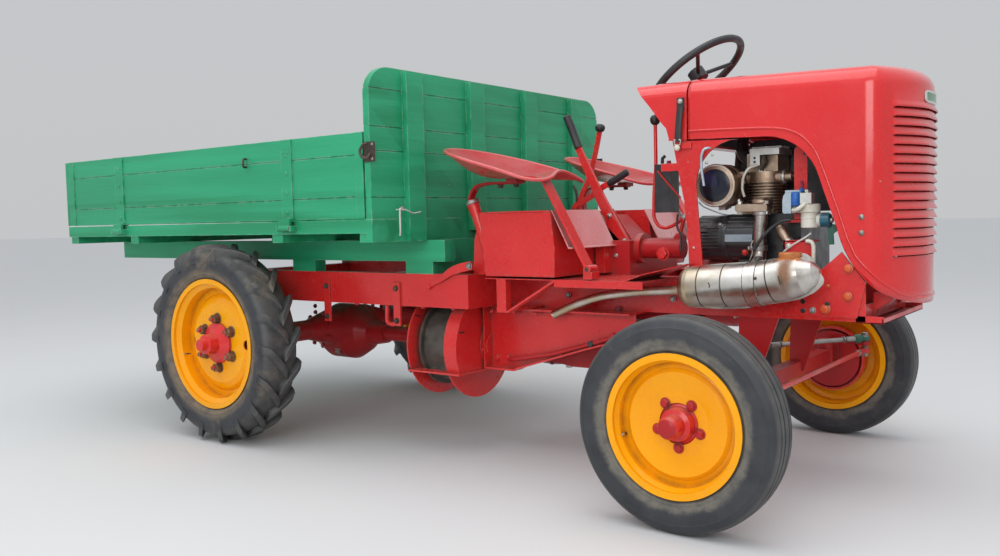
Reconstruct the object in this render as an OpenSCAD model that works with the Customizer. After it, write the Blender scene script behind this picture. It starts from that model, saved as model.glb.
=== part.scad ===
// Load-carrying farm tractor: drop-side bed behind two pan seats, open single-cylinder engine
// X points ahead, Y to the left, Z up; the wheels stand on Z = 0

/* [Axles] */
// Distance between the axle centres
wheelbase = 2090; // [1950:10:2200]
// Front axle ahead of the middle of the machine
front_axle_x = 1365; // [1340:1:1390]
// Distance between the middles of the rear tyres
rear_track = 1442; // [1430:2:1480]
// Distance between the steering pins
kingpin_track = 1180; // [1150:2:1190]
// Distance from a steering pin to the middle of its tyre
spindle_reach = 129; // [126:1:134]

/* [Rear wheels] */
// Radius over the lugs of the rear tyre
rear_tyre_r = 413; // [400:1:420]
// Width of the rear tyre
rear_tyre_w = 170; // [160:1:176]
// Height of the lugs
lug_h = 22; // [14:1:26]
// Radius over the rear rim's flange
rear_rim_r = 270; // [262:1:276]
// Width over the rear rim's flanges
rear_rim_w = 140; // [130:1:146]

/* [Front wheels] */
// Radius of the front tyre
front_tyre_r = 311; // [300:1:320]
// Width of the front tyre
front_tyre_w = 122; // [112:1:128]
// Radius over the front rim's flange
front_rim_r = 208; // [202:1:214]
// Width over the front rim's flanges
front_rim_w = 110; // [104:1:116]

/* [Bed] */
// Front face of the headboard
bed_front_x = 220; // [210:1:230]
// Length of the bed over the tailgate
bed_len = 2059; // [1980:1:2100]
// Width of the bed over the side boards
bed_w = 1540; // [1520:2:1560]
// Underside of the bed's sill
sill_z = 862; // [855:1:870]
// Height of the sill
sill_h = 49; // [44:1:56]
// Height of the side boards
side_h = 308; // [260:1:340]
// Thickness of the boards
plank_t = 28; // [24:1:32]
// Height of the headboard above the sill's top
headboard_h = 539; // [480:1:580]
// Radius of the headboard's top corners
headboard_r = 100; // [60:5:140]
// Gap round the boards that drop
board_gap = 5; // [5:0.5:8]

/* [Frame] */
// Width over the rear rails
rear_rail_w = 1000; // [980:2:1010]
// Top of the rear rails
rear_rail_top = 703; // [695:1:710]
// Height of the rear rails
rear_rail_h = 125; // [110:1:130]
// Width over the front rails
front_rail_w = 500; // [480:2:504]
// Underside of the front rails
front_rail_z = 570; // [560:1:580]
// Height of the front rails
front_rail_h = 120; // [110:1:125]
// Thickness of the foot boards' sheet
platform_t = 3; // [2:0.5:4]
// Thickness of the frame's steel
steel_t = 6; // [5:0.5:8]

/* [Hood] */
// Width of the hood
hood_w = 530; // [526:2:540]
// Top of the hood at its nose
hood_top = 1332; // [1320:1:1345]
// Rear edge of the hood
hood_seam_x = 1185; // [1175:1:1195]
// Foremost point of the hood
nose_x = 1872; // [1860:1:1885]
// Height of the seam below the hood's side
hood_side_z = 1150; // [1135:1:1165]
// Thickness of the hood's sheet
sheet_t = 3; // [2:0.5:4]

/* [Steering] */
// Radius of the steering wheel's rim
wheel_r = 192; // [180:1:200]
// Angle between the steering wheel's axis and the vertical
wheel_tilt = 35.5; // [33:0.5:38]

/* [Winch] */
// Radius of the winch's guard plates
guard_r = 208; // [195:1:212]
// Radius of the winch's drum
drum_r = 150; // [120:1:165]

/* [Hidden] */
$fn = 48;

// Running clearance of a pin or shaft in its bore
fit = 0.05;
// Gap at which a piece is seated on a piece of another body
seat_gap = 0.3;

rear_axle_x = front_axle_x - wheelbase;
rear_y = rear_track / 2;
front_y = kingpin_track / 2 + spindle_reach;

// Colours
red = "#c8242c";
dark_red = "#8e1a20";
green = "#1f8a55";
orange = "#f0a000";
black = "#1c1c1e";
iron = "#55504c";
silver = "#b9b4aa";

// A box between its lowest and highest corner
module block(x, y, z) {
    translate([x[0], y[0], z[0]]) cube([x[1] - x[0], y[1] - y[0], z[1] - z[0]]);
}

// A profile of radius and place along Y, turned about the Y axis
module turned_y() { rotate([-90, 0, 0]) rotate_extrude() children(); }

// A profile of radius and place along X, turned about the X axis
module turned_x() { rotate([0, 90, 0]) rotate_extrude() children(); }

// A cylinder about the Y axis, from one place along Y to another
module disc_y(r, y) { translate([0, y[0], 0]) rotate([-90, 0, 0]) cylinder(r = r, h = y[1] - y[0]); }

// A cylinder about the X axis, from one place along X to another
module disc_x(r, x) { translate([x[0], 0, 0]) rotate([0, 90, 0]) cylinder(r = r, h = x[1] - x[0]); }

// A profile drawn in X and Z, as thick as the span along Y
module plate_y(y) { translate([0, y[1], 0]) rotate([90, 0, 0]) linear_extrude(y[1] - y[0]) children(); }

// A profile drawn in Y and Z, as thick as the span along X
module plate_x(x) {
    translate([x[0], 0, 0]) rotate([90, 0, 90]) linear_extrude(x[1] - x[0]) children();
}

// A round bar between two points
module bar(a, b, r) {
    d = b - a;
    len = norm(d);
    translate(a) rotate([0, acos(d[2] / len), atan2(d[1], d[0])])
        cylinder(r = r, h = len, $fn = r < 15 ? 24 : 48);
}

// Round bars along a list of points, with a ball a little wider at each bend
module bent_bar(points, r) {
    for (i = [0:len(points) - 2]) bar(points[i], points[i + 1], r);
    for (i = [1:1:len(points) - 2]) translate(points[i]) sphere(r = r + 0.4, $fn = 24);
}

// The same piece on the right (-Y) and on the left (+Y)
module both_sides() {
    children();
    mirror([0, 1, 0]) children();
}

// Points of an arc
function arc(centre, r, from, to, steps) =
    [for (i = [0:steps]) let (a = from + (to - from) * i / steps)
        [centre[0] + r * cos(a), centre[1] + r * sin(a)]];

// Points of a section that is rounder than a box and squarer than an ellipse
function soft_arc(centre, size, from, to, steps, power) =
    [for (i = [0:steps]) let (a = from + (to - from) * i / steps, c = cos(a), s = sin(a))
        [centre[0] + size[0] * sign(c) * pow(abs(c), power),
         centre[1] + size[1] * sign(s) * pow(abs(s), power)]];

// Depth of the tyre's seat below the rim's flange
bead_drop = 15;

// Tyre: a section of radius and place along Y, open at the beads
module tyre(r, w, rim_r, rim_w, lug) {
    bead = rim_r - bead_drop + seat_gap;
    carcass = r - lug;
    middle = (bead + carcass) / 2;
    turned_y() polygon(concat(
        [[bead, -rim_w / 2 + 12], [rim_r + 2, -rim_w / 2 + 8]],
        soft_arc([middle, 0], [carcass - middle, w / 2], -125, 125, 12, 0.72),
        [[rim_r + 2, rim_w / 2 - 8], [bead, rim_w / 2 - 12]]));
}

// One bent lug, from the shoulder to just past the middle of the tread
// Columns: place along Y, angle ahead of the shoulder, half of its angle, top and foot below the tyre's radius
lug_stations = [[84, 0, 2.1, 26, 72], [62, 3, 2.2, 4, 41], [28, 8.2, 2.4, 0, 33], [-7, 14.5, 2.6, 0, 31]];
module lug(side) {
    at = [for (s = lug_stations) for (p = [[-1.35, 4], [-1, 3], [1, 3], [1.35, 4]])
        let (a = s[1] + p[0] * s[2], r = rear_tyre_r - s[p[1]]) [r * sin(a), side * s[0], r * cos(a)]];
    last = len(lug_stations) - 1;
    quads = concat([[3, 2, 1, 0]], [[for (k = [0:3]) 4 * last + k]],
                   [for (i = [0:last - 1]) for (k = [0:3])
                       [4 * i + k, 4 * i + (k + 1) % 4, 4 * i + 4 + (k + 1) % 4, 4 * i + 4 + k]]);
    polyhedron(at, [for (q = quads) each side > 0 ? [[q[0], q[1], q[2]], [q[0], q[2], q[3]]]
                                                 : [[q[2], q[1], q[0]], [q[3], q[2], q[0]]]]);
}

// Rear tyre: carcass and two rows of lugs, one row half a pitch behind the other
lugs = 18;
module rear_tyre() {
    color(black) {
        tyre(rear_tyre_r, rear_tyre_w, rear_rim_r, rear_rim_w, lug_h);
        for (i = [0:lugs - 1]) {
            rotate([0, i * 360 / lugs, 0]) lug(1);
            rotate([0, (i + 0.5) * 360 / lugs, 0]) lug(-1);
        }
    }
}

// Front tyre: ribs between grooves
groove_y = [-38, -15, 15, 38];
module front_tyre() {
    color(black) difference() {
        tyre(front_tyre_r, front_tyre_w, front_rim_r, front_rim_w, 0);
        for (y = groove_y) turned_y() translate([front_tyre_r - 9, y - 3.5]) square([20, 7]);
    }
}

// Rim and dished disc; the places of the disc's steps are radius and Y
module rim(r, w, well, disc) {
    t = 5;
    half = w / 2;
    bead = r - bead_drop;
    turned_y() polygon([
        [r, half - 4], [r, half], [bead - t, half], [bead - t, half - 12], [well - t, half - 26],
        [well - t, -half + 26], [bead - t, -half + 12], [bead - t, -half], [r, -half], [r, -half + 4],
        [bead, -half + 4], [bead, -half + 13], [well, -half + 27], [well, half - 27],
        [bead, half - 13], [bead, half - 4]]);
    turned_y() polygon(concat(disc, [for (i = [len(disc) - 1:-1:0]) disc[i] + [0, t]]));
}

rear_flange_r = 84;
front_flange_r = 60;
rear_disc = [[rear_flange_r + seat_gap, 18], [168, 18], [190, 8], [206, -6], [226, -8], [232, -8]];
front_disc = [[front_flange_r + seat_gap, 2], [92, 2], [150, 12], [162, 4], [176, 0], [181, 0]];
rear_studs = [for (a = [30:60:330]) a];
rear_stud_at = 102;
front_studs = [for (a = [18:72:306]) a];
front_stud_at = 69;

module rear_rim() {
    color(orange) difference() {
        rim(rear_rim_r, rear_rim_w, 236, rear_disc);
        for (a = [0, 180]) rotate([0, a, 0]) translate([184, 0, 0]) disc_y(22, [-40, 40]);
        for (a = rear_studs) rotate([0, a, 0]) translate([rear_stud_at, 0, 0]) disc_y(9 + seat_gap, [10, 30]);
    }
}

module front_rim() {
    color(orange) difference() {
        rim(front_rim_r, front_rim_w, 184, front_disc);
        for (a = front_studs) rotate([0, a, 0]) translate([front_stud_at, 0, 0])
            disc_y(6 + seat_gap, [-2, 12]);
    }
}

// Rear hub: flange, stepped cap, six studs with nuts, and the brake drum inside
hub_bore = 24;
stub_len = 100;
module rear_hub() {
    color(red) difference() {
        union() {
            turned_y() polygon([[0, -50], [150, -50], [150, -6], [118, -4], [118, 17.7],
                                [rear_flange_r, 17.7], [rear_flange_r, 34], [60, 44], [44, 52], [40, 92],
                                [26, 96], [24, 118], [0, 118]]);
            for (a = rear_studs) rotate([0, a, 0]) translate([rear_stud_at, 0, 0]) {
                disc_y(9, [10, 62]);
                disc_y(14, [23.3, 40]);
            }
        }
        disc_y(hub_bore + fit, [-60, stub_len - 60]);
        turned_y() polygon([[70, -60], [142, -60], [142, -14], [70, -14]]);
    }
}

// Front hub: flange, cap, five bolts and the brake drum inside
spindle_r = 18;
module front_hub() {
    color(red) difference() {
        union() {
            turned_y() polygon([[0, -60], [128, -60], [128, -8], [100, -3.3], [100, 1.7],
                                [front_flange_r, 1.7], [52, 8],
                                [46, 30], [34, 36], [33, 74], [26, 84], [0, 84]]);
            for (a = front_studs) rotate([0, a, 0]) translate([front_stud_at, 0, 0]) {
                disc_y(6, [1, 8]);
                disc_y(11, [7.3, 17]);
            }
        }
        disc_y(spindle_r + fit, [-70, 40]);
        turned_y() polygon([[60, -70], [120, -70], [120, -18], [60, -18]]);
    }
}

module rear_wheel_at(side) {
    translate([rear_axle_x, side * rear_y, rear_tyre_r])
        if (side > 0) children(); else mirror([0, 1, 0]) children();
}
module front_wheel_at(side) {
    translate([front_axle_x, side * front_y, front_tyre_r])
        if (side > 0) children(); else mirror([0, 1, 0]) children();
}

// Knuckle, drawn for the left side about its pin: fork, pin, spindle, back plate and arm
boss_h = 70;
pin_r = 14;
boss_r = 30;
fork_t = 16;
beam_z = front_tyre_r + 22;
arm_x = 150;
arm_z = beam_z + boss_h / 2 + fork_t;
rod_pin_r = 8;
module knuckle(side) {
    spindle_y = spindle_reach;
    color(red) translate([front_axle_x, side * kingpin_track / 2, 0]) scale_side(side) {
        for (z = [beam_z - boss_h / 2 - seat_gap - fork_t, beam_z + boss_h / 2 + seat_gap])
            translate([0, 0, z]) {
                cylinder(r = boss_r, h = fork_t);
                block([-24, 24], [0, 52], [0, fork_t]);
            }
        translate([0, 0, beam_z - boss_h / 2 - fork_t - 6]) cylinder(r = pin_r, h = boss_h + 2 * fork_t + 12);
        block([-36, 36], [38, 54], [beam_z - boss_h / 2 - fork_t, beam_z + boss_h / 2 + fork_t]);
        translate([0, 0, front_tyre_r]) {
            disc_y(112, [spindle_y - 68, spindle_y - 60 - seat_gap]);
            disc_y(34, [40, spindle_y - 60 - seat_gap]);
            disc_y(spindle_r, [50, spindle_y + 36]);
        }
        translate([0, 0, arm_z + seat_gap]) {
            block([0, arm_x], [-14, 14], [0, 14]);
            cylinder(r = boss_r, h = 14);
            translate([arm_x, 0, 0]) cylinder(r = 20, h = 14);
        }
        translate([arm_x, 0, arm_z + seat_gap - 40]) cylinder(r = rod_pin_r, h = 76);
    }
}
module scale_side(side) { if (side > 0) children(); else mirror([0, 1, 0]) children(); }

// Front axle: beam, bosses with their bores, and the plates that hang it from the rails
module front_axle() {
    half = kingpin_track / 2;
    color(dark_red) difference() {
        union() {
            block([front_axle_x - 24, front_axle_x + 24], [-half, half], [beam_z - 26, beam_z + 26]);
            for (s = [-1, 1]) translate([front_axle_x, s * half, beam_z - boss_h / 2])
                cylinder(r = boss_r, h = boss_h);
            for (s = [-1, 1]) scale_side(s)
                plate_y([front_rail_w / 2 - 12, front_rail_w / 2 - 2])
                    polygon([[front_axle_x - 15, front_rail_z], [front_axle_x + 115, front_rail_z],
                             [front_axle_x + 30, beam_z - 10], [front_axle_x - 22, beam_z - 10]]);
        }
        for (s = [-1, 1]) translate([front_axle_x, s * half, beam_z - boss_h / 2 - 1])
            cylinder(r = pin_r + fit, h = boss_h + 2);
    }
}

// Tie rod between the two arms, and the drag link from the left arm to the drop arm
rod_z = arm_z - 22;
link_z = arm_z + 26;
drop_pin = [front_axle_x + arm_x - 270, 185];
open_gap = 0.4;
module rod_eye(clearance) {
    difference() {
        translate([0, 0, -9]) cylinder(r = 17, h = 18);
        translate([0, 0, -10]) cylinder(r = rod_pin_r + clearance, h = 20);
    }
}
module tie_rod() {
    y = kingpin_track / 2;
    color(red) translate([front_axle_x + arm_x, 0, rod_z]) {
        translate([0, -y, 0]) rod_eye(fit);
        translate([0, y, 0]) rod_eye(open_gap);
        bar([0, -y + 13, 0], [0, y - 13, 0], 8.5);
        for (e = [-y + 60, y - 78]) bar([0, e, 0], [0, e + 18, 0], 13);
    }
}
module drag_link() {
    from = [front_axle_x + arm_x, kingpin_track / 2, link_z];
    to = [drop_pin[0], drop_pin[1], link_z];
    way = (to - from) / norm(to - from);
    color(iron) {
        translate(from) rod_eye(fit);
        translate(to) rod_eye(open_gap);
        bar(from + way * 13, to - way * 13, 8.5);
        for (e = [from + way * 52, to - way * 92]) bar(e, e + way * 40, 11);
    }
}

// Drop arm below the steering box
drop_shaft = [drop_pin[0] - arm_x, drop_pin[1]];
drop_shaft_r = 12;
drop_box_z = [490, 560];
module drop_arm() {
    color(dark_red) {
        translate([drop_shaft[0], drop_shaft[1], arm_z + seat_gap]) {
            cylinder(r = 22, h = 14);
            block([0, arm_x], [-13, 13], [0, 14]);
            translate([arm_x, 0, 0]) cylinder(r = 18, h = 14);
            translate([arm_x, 0, 0]) cylinder(r = rod_pin_r, h = 36);
            cylinder(r = drop_shaft_r, h = drop_box_z[1] - 20 - arm_z);
        }
    }
}

// Rails
module channel(x, z, outer_y, flange) {
    block(x, [outer_y - steel_t, outer_y], z);
    block(x, [outer_y - flange, outer_y], [z[0], z[0] + steel_t]);
    block(x, [outer_y - flange, outer_y], [z[1] - steel_t, z[1]]);
}
cross_x = bed_front_x + 200;
front_rail_x = [cross_x + steel_t, front_axle_x + 380];
rear_rail_x = [rear_axle_x - 560, cross_x];
front_rail_top = front_rail_z + front_rail_h;
module front_rails() {
    z = [front_rail_z, front_rail_z + front_rail_h];
    inner = front_rail_w / 2 - steel_t;
    color(red) {
        both_sides() channel(front_rail_x, z, front_rail_w / 2, 50);
        block([front_rail_x[1] - 150, front_rail_x[1]], [-inner, inner], [z[0] + 6, z[0] + 12]);
        block([front_rail_x[1] - steel_t, front_rail_x[1]], [-inner, inner], [z[0] + 6, z[0] + 50]);
        block([front_axle_x - 40, front_axle_x + 40], [-inner, inner], [z[0] + 6, z[0] + engine_seat]);
        side_plates();
        both_sides() for (y = [hood_lug_y[0] - 12, hood_lug_y[1] + 4]) hood_ear([y, y + 8]);
        both_sides() translate([hood_pin[0], 0, hood_pin[1]])
            disc_y(hood_pin_r, [hood_lug_y[0] - 14, hood_lug_y[1] + 14]);
    }
}

// Ears that carry the hood's pins
hood_pin = [1792, 640];
hood_pin_r = 7;
hood_lug_y = [140, 152];
module hood_ear(y) {
    x = front_rail_x[1];
    plate_y(y)
        polygon(concat([[x, hood_pin[1] - 45]], arc(hood_pin, 12, -70, 90, 8), [[x, hood_pin[1] + 12]]));
}
module side_plates() {
    outer = front_rail_w / 2;
    both_sides() plate_y([outer, outer + steel_t])
        polygon([[front_axle_x + 130, front_rail_z + 12], [front_axle_x + 246, front_rail_z + 150],
                 [front_axle_x + 312, front_rail_z + 210], [front_axle_x + 382, front_rail_z + 118],
                 [front_axle_x + 357, front_rail_z + 12]]);
}
module rear_rails() {
    z = [rear_rail_top - rear_rail_h, rear_rail_top];
    outer = rear_rail_w / 2;
    color(red) {
        both_sides() channel(rear_rail_x, z, outer, 55);
        for (x = [rear_rail_x[0], rear_axle_x + 420])
            block([x, x + 60], [-outer + steel_t, outer - steel_t], [z[0] + 25, z[1] - 25]);
        block([cross_x, cross_x + steel_t], [-outer, outer], z);
        translate([rear_rail_x[0], 0, z[0] + 40]) difference() {
            linear_extrude(hitch_t) union() {
                polygon([[1, -70], [1, 70], [-hitch_out, 30], [-hitch_out, -30]]);
                translate([-hitch_out, 0]) circle(r = 30);
            }
            translate([-hitch_out, 0, -1]) cylinder(r = hitch_r, h = hitch_t + 2);
        }
    }
}

// Tongue of the tow hitch behind the rear cross member
hitch_t = 20;
hitch_out = 60;
hitch_r = 13;

// Rear axle: banjo housing, tubes, seats under the rails, torque tube and stubs
rear_hub_in = 50;
module rear_axle() {
    tube_end = rear_y - rear_hub_in - 8;
    rail_z = rear_rail_top - rear_rail_h;
    color(dark_red) {
        translate([rear_axle_x, 0, rear_tyre_r - 30]) {
            turned_x() polygon([[0, -150], [95, -135], [130, -60], [130, 60], [95, 125], [60, 170],
                                [45, 260], [0, 260]]);
        }
        translate([rear_axle_x, 0, rear_tyre_r]) {
            turned_y() polygon([[0, -tube_end], [46, -tube_end], [46, -260], [88, -110],
                                [88, 110], [46, 260], [46, tube_end], [0, tube_end]]);
            both_sides() {
                disc_y(150, [tube_end, rear_y - rear_hub_in - seat_gap]);
                disc_y(hub_bore, [tube_end, rear_y - 60 + stub_len - 4]);
            }
        }
        both_sides() block([rear_axle_x - 60, rear_axle_x + 60], [rear_rail_w / 2 - 70, rear_rail_w / 2],
                           [rear_tyre_r + 20, rail_z]);
        translate([0, 0, rear_tyre_r - 30]) disc_x(34, [rear_axle_x + 250, cross_x + steel_t]);
    }
}

// Gearbox with its sump, the clutch housing towards the engine and the cover over the shafts
gearbox_x = [cross_x + steel_t, cross_x + 700];
flywheel_z = 640;
module gearbox() {
    x = gearbox_x[0];
    cover_x = bed_front_x + 470;
    color(dark_red) {
        plate_y([-150, 150]) polygon([[x, 345], [x, 660], [gearbox_x[1], 660], [gearbox_x[1], 440],
                                      [x + 520, 400], [x + 400, 335], [x + 220, 335], [x + 150, 345]]);
        translate([0, 0, flywheel_z]) turned_x()
            polygon([[0, gearbox_x[1]], [100, gearbox_x[1]], [135, gearbox_x[1] + 40],
                     [135, block_x[0] - 60], [115, block_x[0]], [0, block_x[0]]]);
        block([bed_front_x + 520, bed_front_x + 700], [-190, 190], [660, 815]);
        translate([0, -110, 785]) {
            disc_x(55, [bed_front_x + 700, bed_front_x + 722]);
            disc_x(36, [bed_front_x + 722, bed_front_x + 870]);
        }
        block([bed_front_x + 840, bed_front_x + 870], [-125, -85], [785, 830]);
    }
    color(red) plate_y([-120, 120])
        polygon([[cover_x, 815], [cover_x, 910], [cover_x + 50, 910], [cover_x + 150, 815]]);
}

// Engine
engine_y = -90;
cyl_x = front_axle_x + 21;
block_top = 900;
engine_seat = 20;
block_x = [cyl_x - 80, cyl_x + 130];
block_y = [-140, 150];
filter_x = 1249;
module engine_block() {
    color(black) block(block_x, block_y, [front_rail_z + engine_seat, block_top]);
}
module cylinder_stack() {
    fins = 10;
    pitch = 9.5;
    color(iron) translate([cyl_x, engine_y, block_top]) {
        cylinder(r = 50, h = 120);
        for (i = [0:fins - 1]) translate([0, 0, 6 + i * pitch]) cylinder(r = 64, h = 3.5);
        translate([0, 0, 102]) cylinder(r = 60, h = 36);
        translate([0, 0, 138]) block([-52, 52], [-44, 60], [0, 60]);
        translate([0, -20, 120]) disc_x(17, [filter_x + 76 - cyl_x, 92]);
        block([-10, 38], [-70, 0], [6, 50]);
    }
}
module air_filter() {
    color(iron) translate([filter_x, 0, 997]) {
        disc_y(70, [-200, -70]);
        disc_y(30, [-70, 20]);
        block([0, 76], [-130, -90], [4, 44]);
    }
}
module generator() {
    color(black) translate([0, -120, 822]) {
        difference() {
            disc_x(76, [block_x[0] - 134, block_x[0]]);
            for (a = [0:15:345]) rotate([a, 0, 0])
                block([block_x[0] - 135, block_x[0] - 90], [-1.5, 1.5], [60, 80]);
        }
        disc_x(58, [block_x[0] - 146, block_x[0] - 133]);
    }
}
module fuel_system() {
    y = -190;
    color(silver) translate([1560, y, 0]) {
        translate([0, 0, 855]) cylinder(r = 26, h = 60);
        translate([0, 0, 915]) cylinder(r = 32, h = 14);
        block([-70, -20], [-25, 25], [900, 975]);
    }
    color(red) {
        block([1528, 1572], [y + 14, y + 20], [block_top - 20, 1110]);
        block([block_x[1] - 40, 1572], [y + 14, block_y[0]], [block_top - 30, block_top - 22]);
    }
}

// Muffler with its seam, rain cap, inlet pipe, bracket and tail pipe
muffler_y = -front_rail_w / 2 - 95;
module muffler() {
    tail = [[1200, muffler_y, 660], [1042, muffler_y, 650], [887, muffler_y - 2, 628],
            [784, muffler_y - 4, 594], [699, muffler_y - 4, 556]];
    port = [cyl_x + 14, engine_y - 70, block_top + 28];
    bend = [1444, muffler_y, 684];
    color(silver) {
        translate(bend) rotate([0, -4, 0]) turned_x() polygon(concat(
            [[0, -252]], [for (p = arc([-207, 0], 45, 180, 90, 5)) [p[1] + 22, p[0]]], [[67, 0], [0, 0]]));
        translate(bend) sphere(r = 67.4);
        translate(bend) rotate([0, -12, 0]) turned_x()
            polygon([[0, 0], [67, 0], [66, 110], [58, 150], [36, 186], [12, 202], [0, 203]]);
        bent_bar(tail, 11);
        bent_bar([port, port + [0, -27, 0], port + [0, -27, -170], [port[0], muffler_y + 45, 716]], 16);
    }
    color(red) block([1330, 1342], [muffler_y + 40, -front_rail_w / 2],
                     [front_rail_z + 60, front_rail_z + 100]);
    color("#a8562a") translate([1553, muffler_y, 730]) cylinder(r = 33, h = 52);
}

// Foot boards with folded edges, and the post, brace and tie under each outer edge
platform_x = [bed_front_x + 280, bed_front_x + 950];
fold_h = 22;
module platform() {
    outer = rear_rail_w / 2 - 8;
    inner = front_rail_w / 2 - 60;
    post_x = [bed_front_x + 330, bed_front_x + 370];
    foot_z = front_rail_z + 2;
    toe_x = platform_x[1] - 110;
    color(red) both_sides() {
        translate([0, 0, front_rail_top]) linear_extrude(platform_t)
            polygon([[platform_x[0], inner], [platform_x[0], outer], [platform_x[1] - 40, outer],
                     [platform_x[1] - 40, front_rail_w / 2 + 2], [platform_x[1] - 10, front_rail_w / 2 + 2],
                     [platform_x[1] - 10, inner]]);
        block([bed_front_x + 575, platform_x[1] - 40], [outer - 3, outer],
              [front_rail_top - fold_h, front_rail_top]);
        translate([toe_x, 0, front_rail_top]) rotate([0, -20, 0]) linear_extrude(platform_t)
            polygon([[0, front_rail_w / 2 + 2], [0, outer], [70, outer - 4], [150, hood_w / 2 + 12],
                     [150, hood_w / 2 + 4], [118, hood_w / 2 + 4], [118, front_rail_w / 2 + 2]]);
        block(post_x, [outer - 30, outer], [foot_z, front_rail_top]);
        block(post_x, [front_rail_w / 2, outer], [foot_z, foot_z + 6]);
        plate_y([outer - 30, outer]) polygon([
            [post_x[1] - 6, foot_z], [post_x[1] + 6, foot_z], [bed_front_x + 585, front_rail_top],
            [bed_front_x + 570, front_rail_top]]);
    }
}

// Seat base: the tank on the near side and its twin, with the filler
base_x = [bed_front_x + 285, bed_front_x + 590];
base_z = [front_rail_top + platform_t, 928];
filler = [bed_front_x + 216, -rear_rail_w / 2 + 34, 955];
module seat_base() {
    outer = rear_rail_w / 2;
    color(red) {
        both_sides() plate_y([200, outer])
            polygon([[base_x[0], base_z[0]], [base_x[0] + 45, base_z[1]],
                     [base_x[1] - 55, base_z[1]], [base_x[1], base_z[0]]]);
        block([base_x[0] + 60, base_x[1] - 130], [-200, 200], [base_z[0] + 110, base_z[1] - 4]);
        bent_bar([filler, filler + [63, 0, -172], filler + [115, 0, -200]], 20);
        bar(filler, filler + [-5, 0, 14], 27);
    }
}

// Pan seat: a dished shell with a rolled edge and two scallops for the legs
seat_y = rear_rail_w / 2 - 100;
seat_x = bed_front_x + 345;
seat_z = 1050;
seat_l = 520;
seat_half = 225;
pan_rings = 9;
pan_steps = 36;
function pan_edge(a) = 1 - 0.10 * max(0, cos(a)) * (1 - pow(abs(sin(2 * a)), 1.2));
function pan_point(f, a) =
    let (k = f * pan_edge(a), x = k * seat_l / 2 * cos(a), y = k * seat_half * sin(a),
         rise = -seat_slope * x + 72 * pow(f, 2.6) * (1 - 0.55 * max(0, cos(a)))
                + 18 * pow(f, 4) * max(0, cos(a)) * cos(4 * a))
    [x, y, rise];
seat_slope = 0.16;
leg_drop = 20;
module pan_seat() {
    t = 4;
    top = [for (i = [1:pan_rings]) for (j = [0:pan_steps - 1]) pan_point(i / pan_rings, j * 360 / pan_steps)];
    n = len(top);
    c = 2 * n;
    points = concat(top, [for (p = top) p - [0, 0, t]], [pan_point(0, 0), pan_point(0, 0) - [0, 0, t]]);
    function at(i, j) = i * pan_steps + j % pan_steps;
    last = pan_rings - 1;
    faces = concat(
        [for (j = [0:pan_steps - 1]) [c, at(0, j + 1), at(0, j)]],
        [for (j = [0:pan_steps - 1]) [c + 1, n + at(0, j), n + at(0, j + 1)]],
        [for (i = [0:last - 1]) for (j = [0:pan_steps - 1])
            each [[at(i, j), at(i, j + 1), at(i + 1, j)], [at(i, j + 1), at(i + 1, j + 1), at(i + 1, j)]]],
        [for (i = [0:last - 1]) for (j = [0:pan_steps - 1])
            each [[n + at(i, j), n + at(i + 1, j), n + at(i, j + 1)],
                  [n + at(i, j + 1), n + at(i + 1, j), n + at(i + 1, j + 1)]]],
        [for (j = [0:pan_steps - 1])
            each [[at(last, j), at(last, j + 1), n + at(last, j)],
                  [at(last, j + 1), n + at(last, j + 1), n + at(last, j)]]]);
    polyhedron(points, faces);
}
module seat(side) {
    color(red) translate([seat_x, side * seat_y, seat_z]) pan_seat();
}

// Flat-bar legs and the curved bars under the seats
module seat_posts() {
    foot_z = base_z[0];
    top_z = seat_z - leg_drop;
    color(red) both_sides() for (y = [seat_y - 70, seat_y + 70])
        plate_y([y - 24, y + 24]) polygon([
            [seat_x + 152, top_z], [seat_x + 162, top_z], [seat_x + 330, foot_z], [seat_x + 320, foot_z]]);
    color(iron) both_sides() translate([0, seat_y, 0]) {
        block([base_x[0] + 56, base_x[0] + 84], [-14, 14], [base_z[1], base_z[1] + 12]);
        bent_bar([[base_x[0] + 70, 0, base_z[1] + 8], [base_x[0] + 42, 0, 985], [base_x[0] + 60, 0, 1024],
                  [seat_x - 14, 0, seat_z - 16]], 9);
        translate([seat_x, 0, seat_z - 4 - seat_gap]) rotate([0, atan(seat_slope), 0])
            block([-36, 90], [-30, 30], [-10, 0]);
    }
}

// Levers: hand brake, two gear levers and a rod with a ball knob, each on its foot
module levers() {
    x = bed_front_x;
    cover_top = 910;
    // Columns: foot's middle, height of its seat, half of its width
    feet = [[[x + 644, -100], 815, 14], [[x + 372, 0], base_z[1] - 4, 15],
            [[x + 488, -60], cover_top, 14], [[x + 855, -105], 830, 12]];
    color(red) {
        for (f = feet) translate([f[0][0], f[0][1], f[1]]) block([-f[2], f[2]], [-f[2], f[2]], [0, 14]);
        bent_bar([[x + 643, -100, 821], [x + 440, -100, 1171]], 9);
        bent_bar([[x + 372, 0, 930], [x + 380, 0, 1000], [x + 473, 0, 1240]], 8);
        bent_bar([[x + 488, -60, 916], [x + 512, -60, 996], [x + 560, -60, 1032]], 7);
        bent_bar([[x + 855, -105, 836], [x + 863, -105, 900], [x + 808, -105, 862], [x + 774, -105, 860],
                  [x + 759, -105, 888], [x + 766, -105, 1230]], 6);
    }
    color(black) {
        bar([x + 443, -100, 1165], [x + 397, -100, 1252], 14);
        bar([x + 554, -60, 1029], [x + 622, -60, 1064], 13);
        translate([x + 474, 0, 1246]) sphere(r = 17, $fn = 24);
        translate([x + 766, -105, 1240]) sphere(r = 16, $fn = 24);
    }
}

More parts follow.
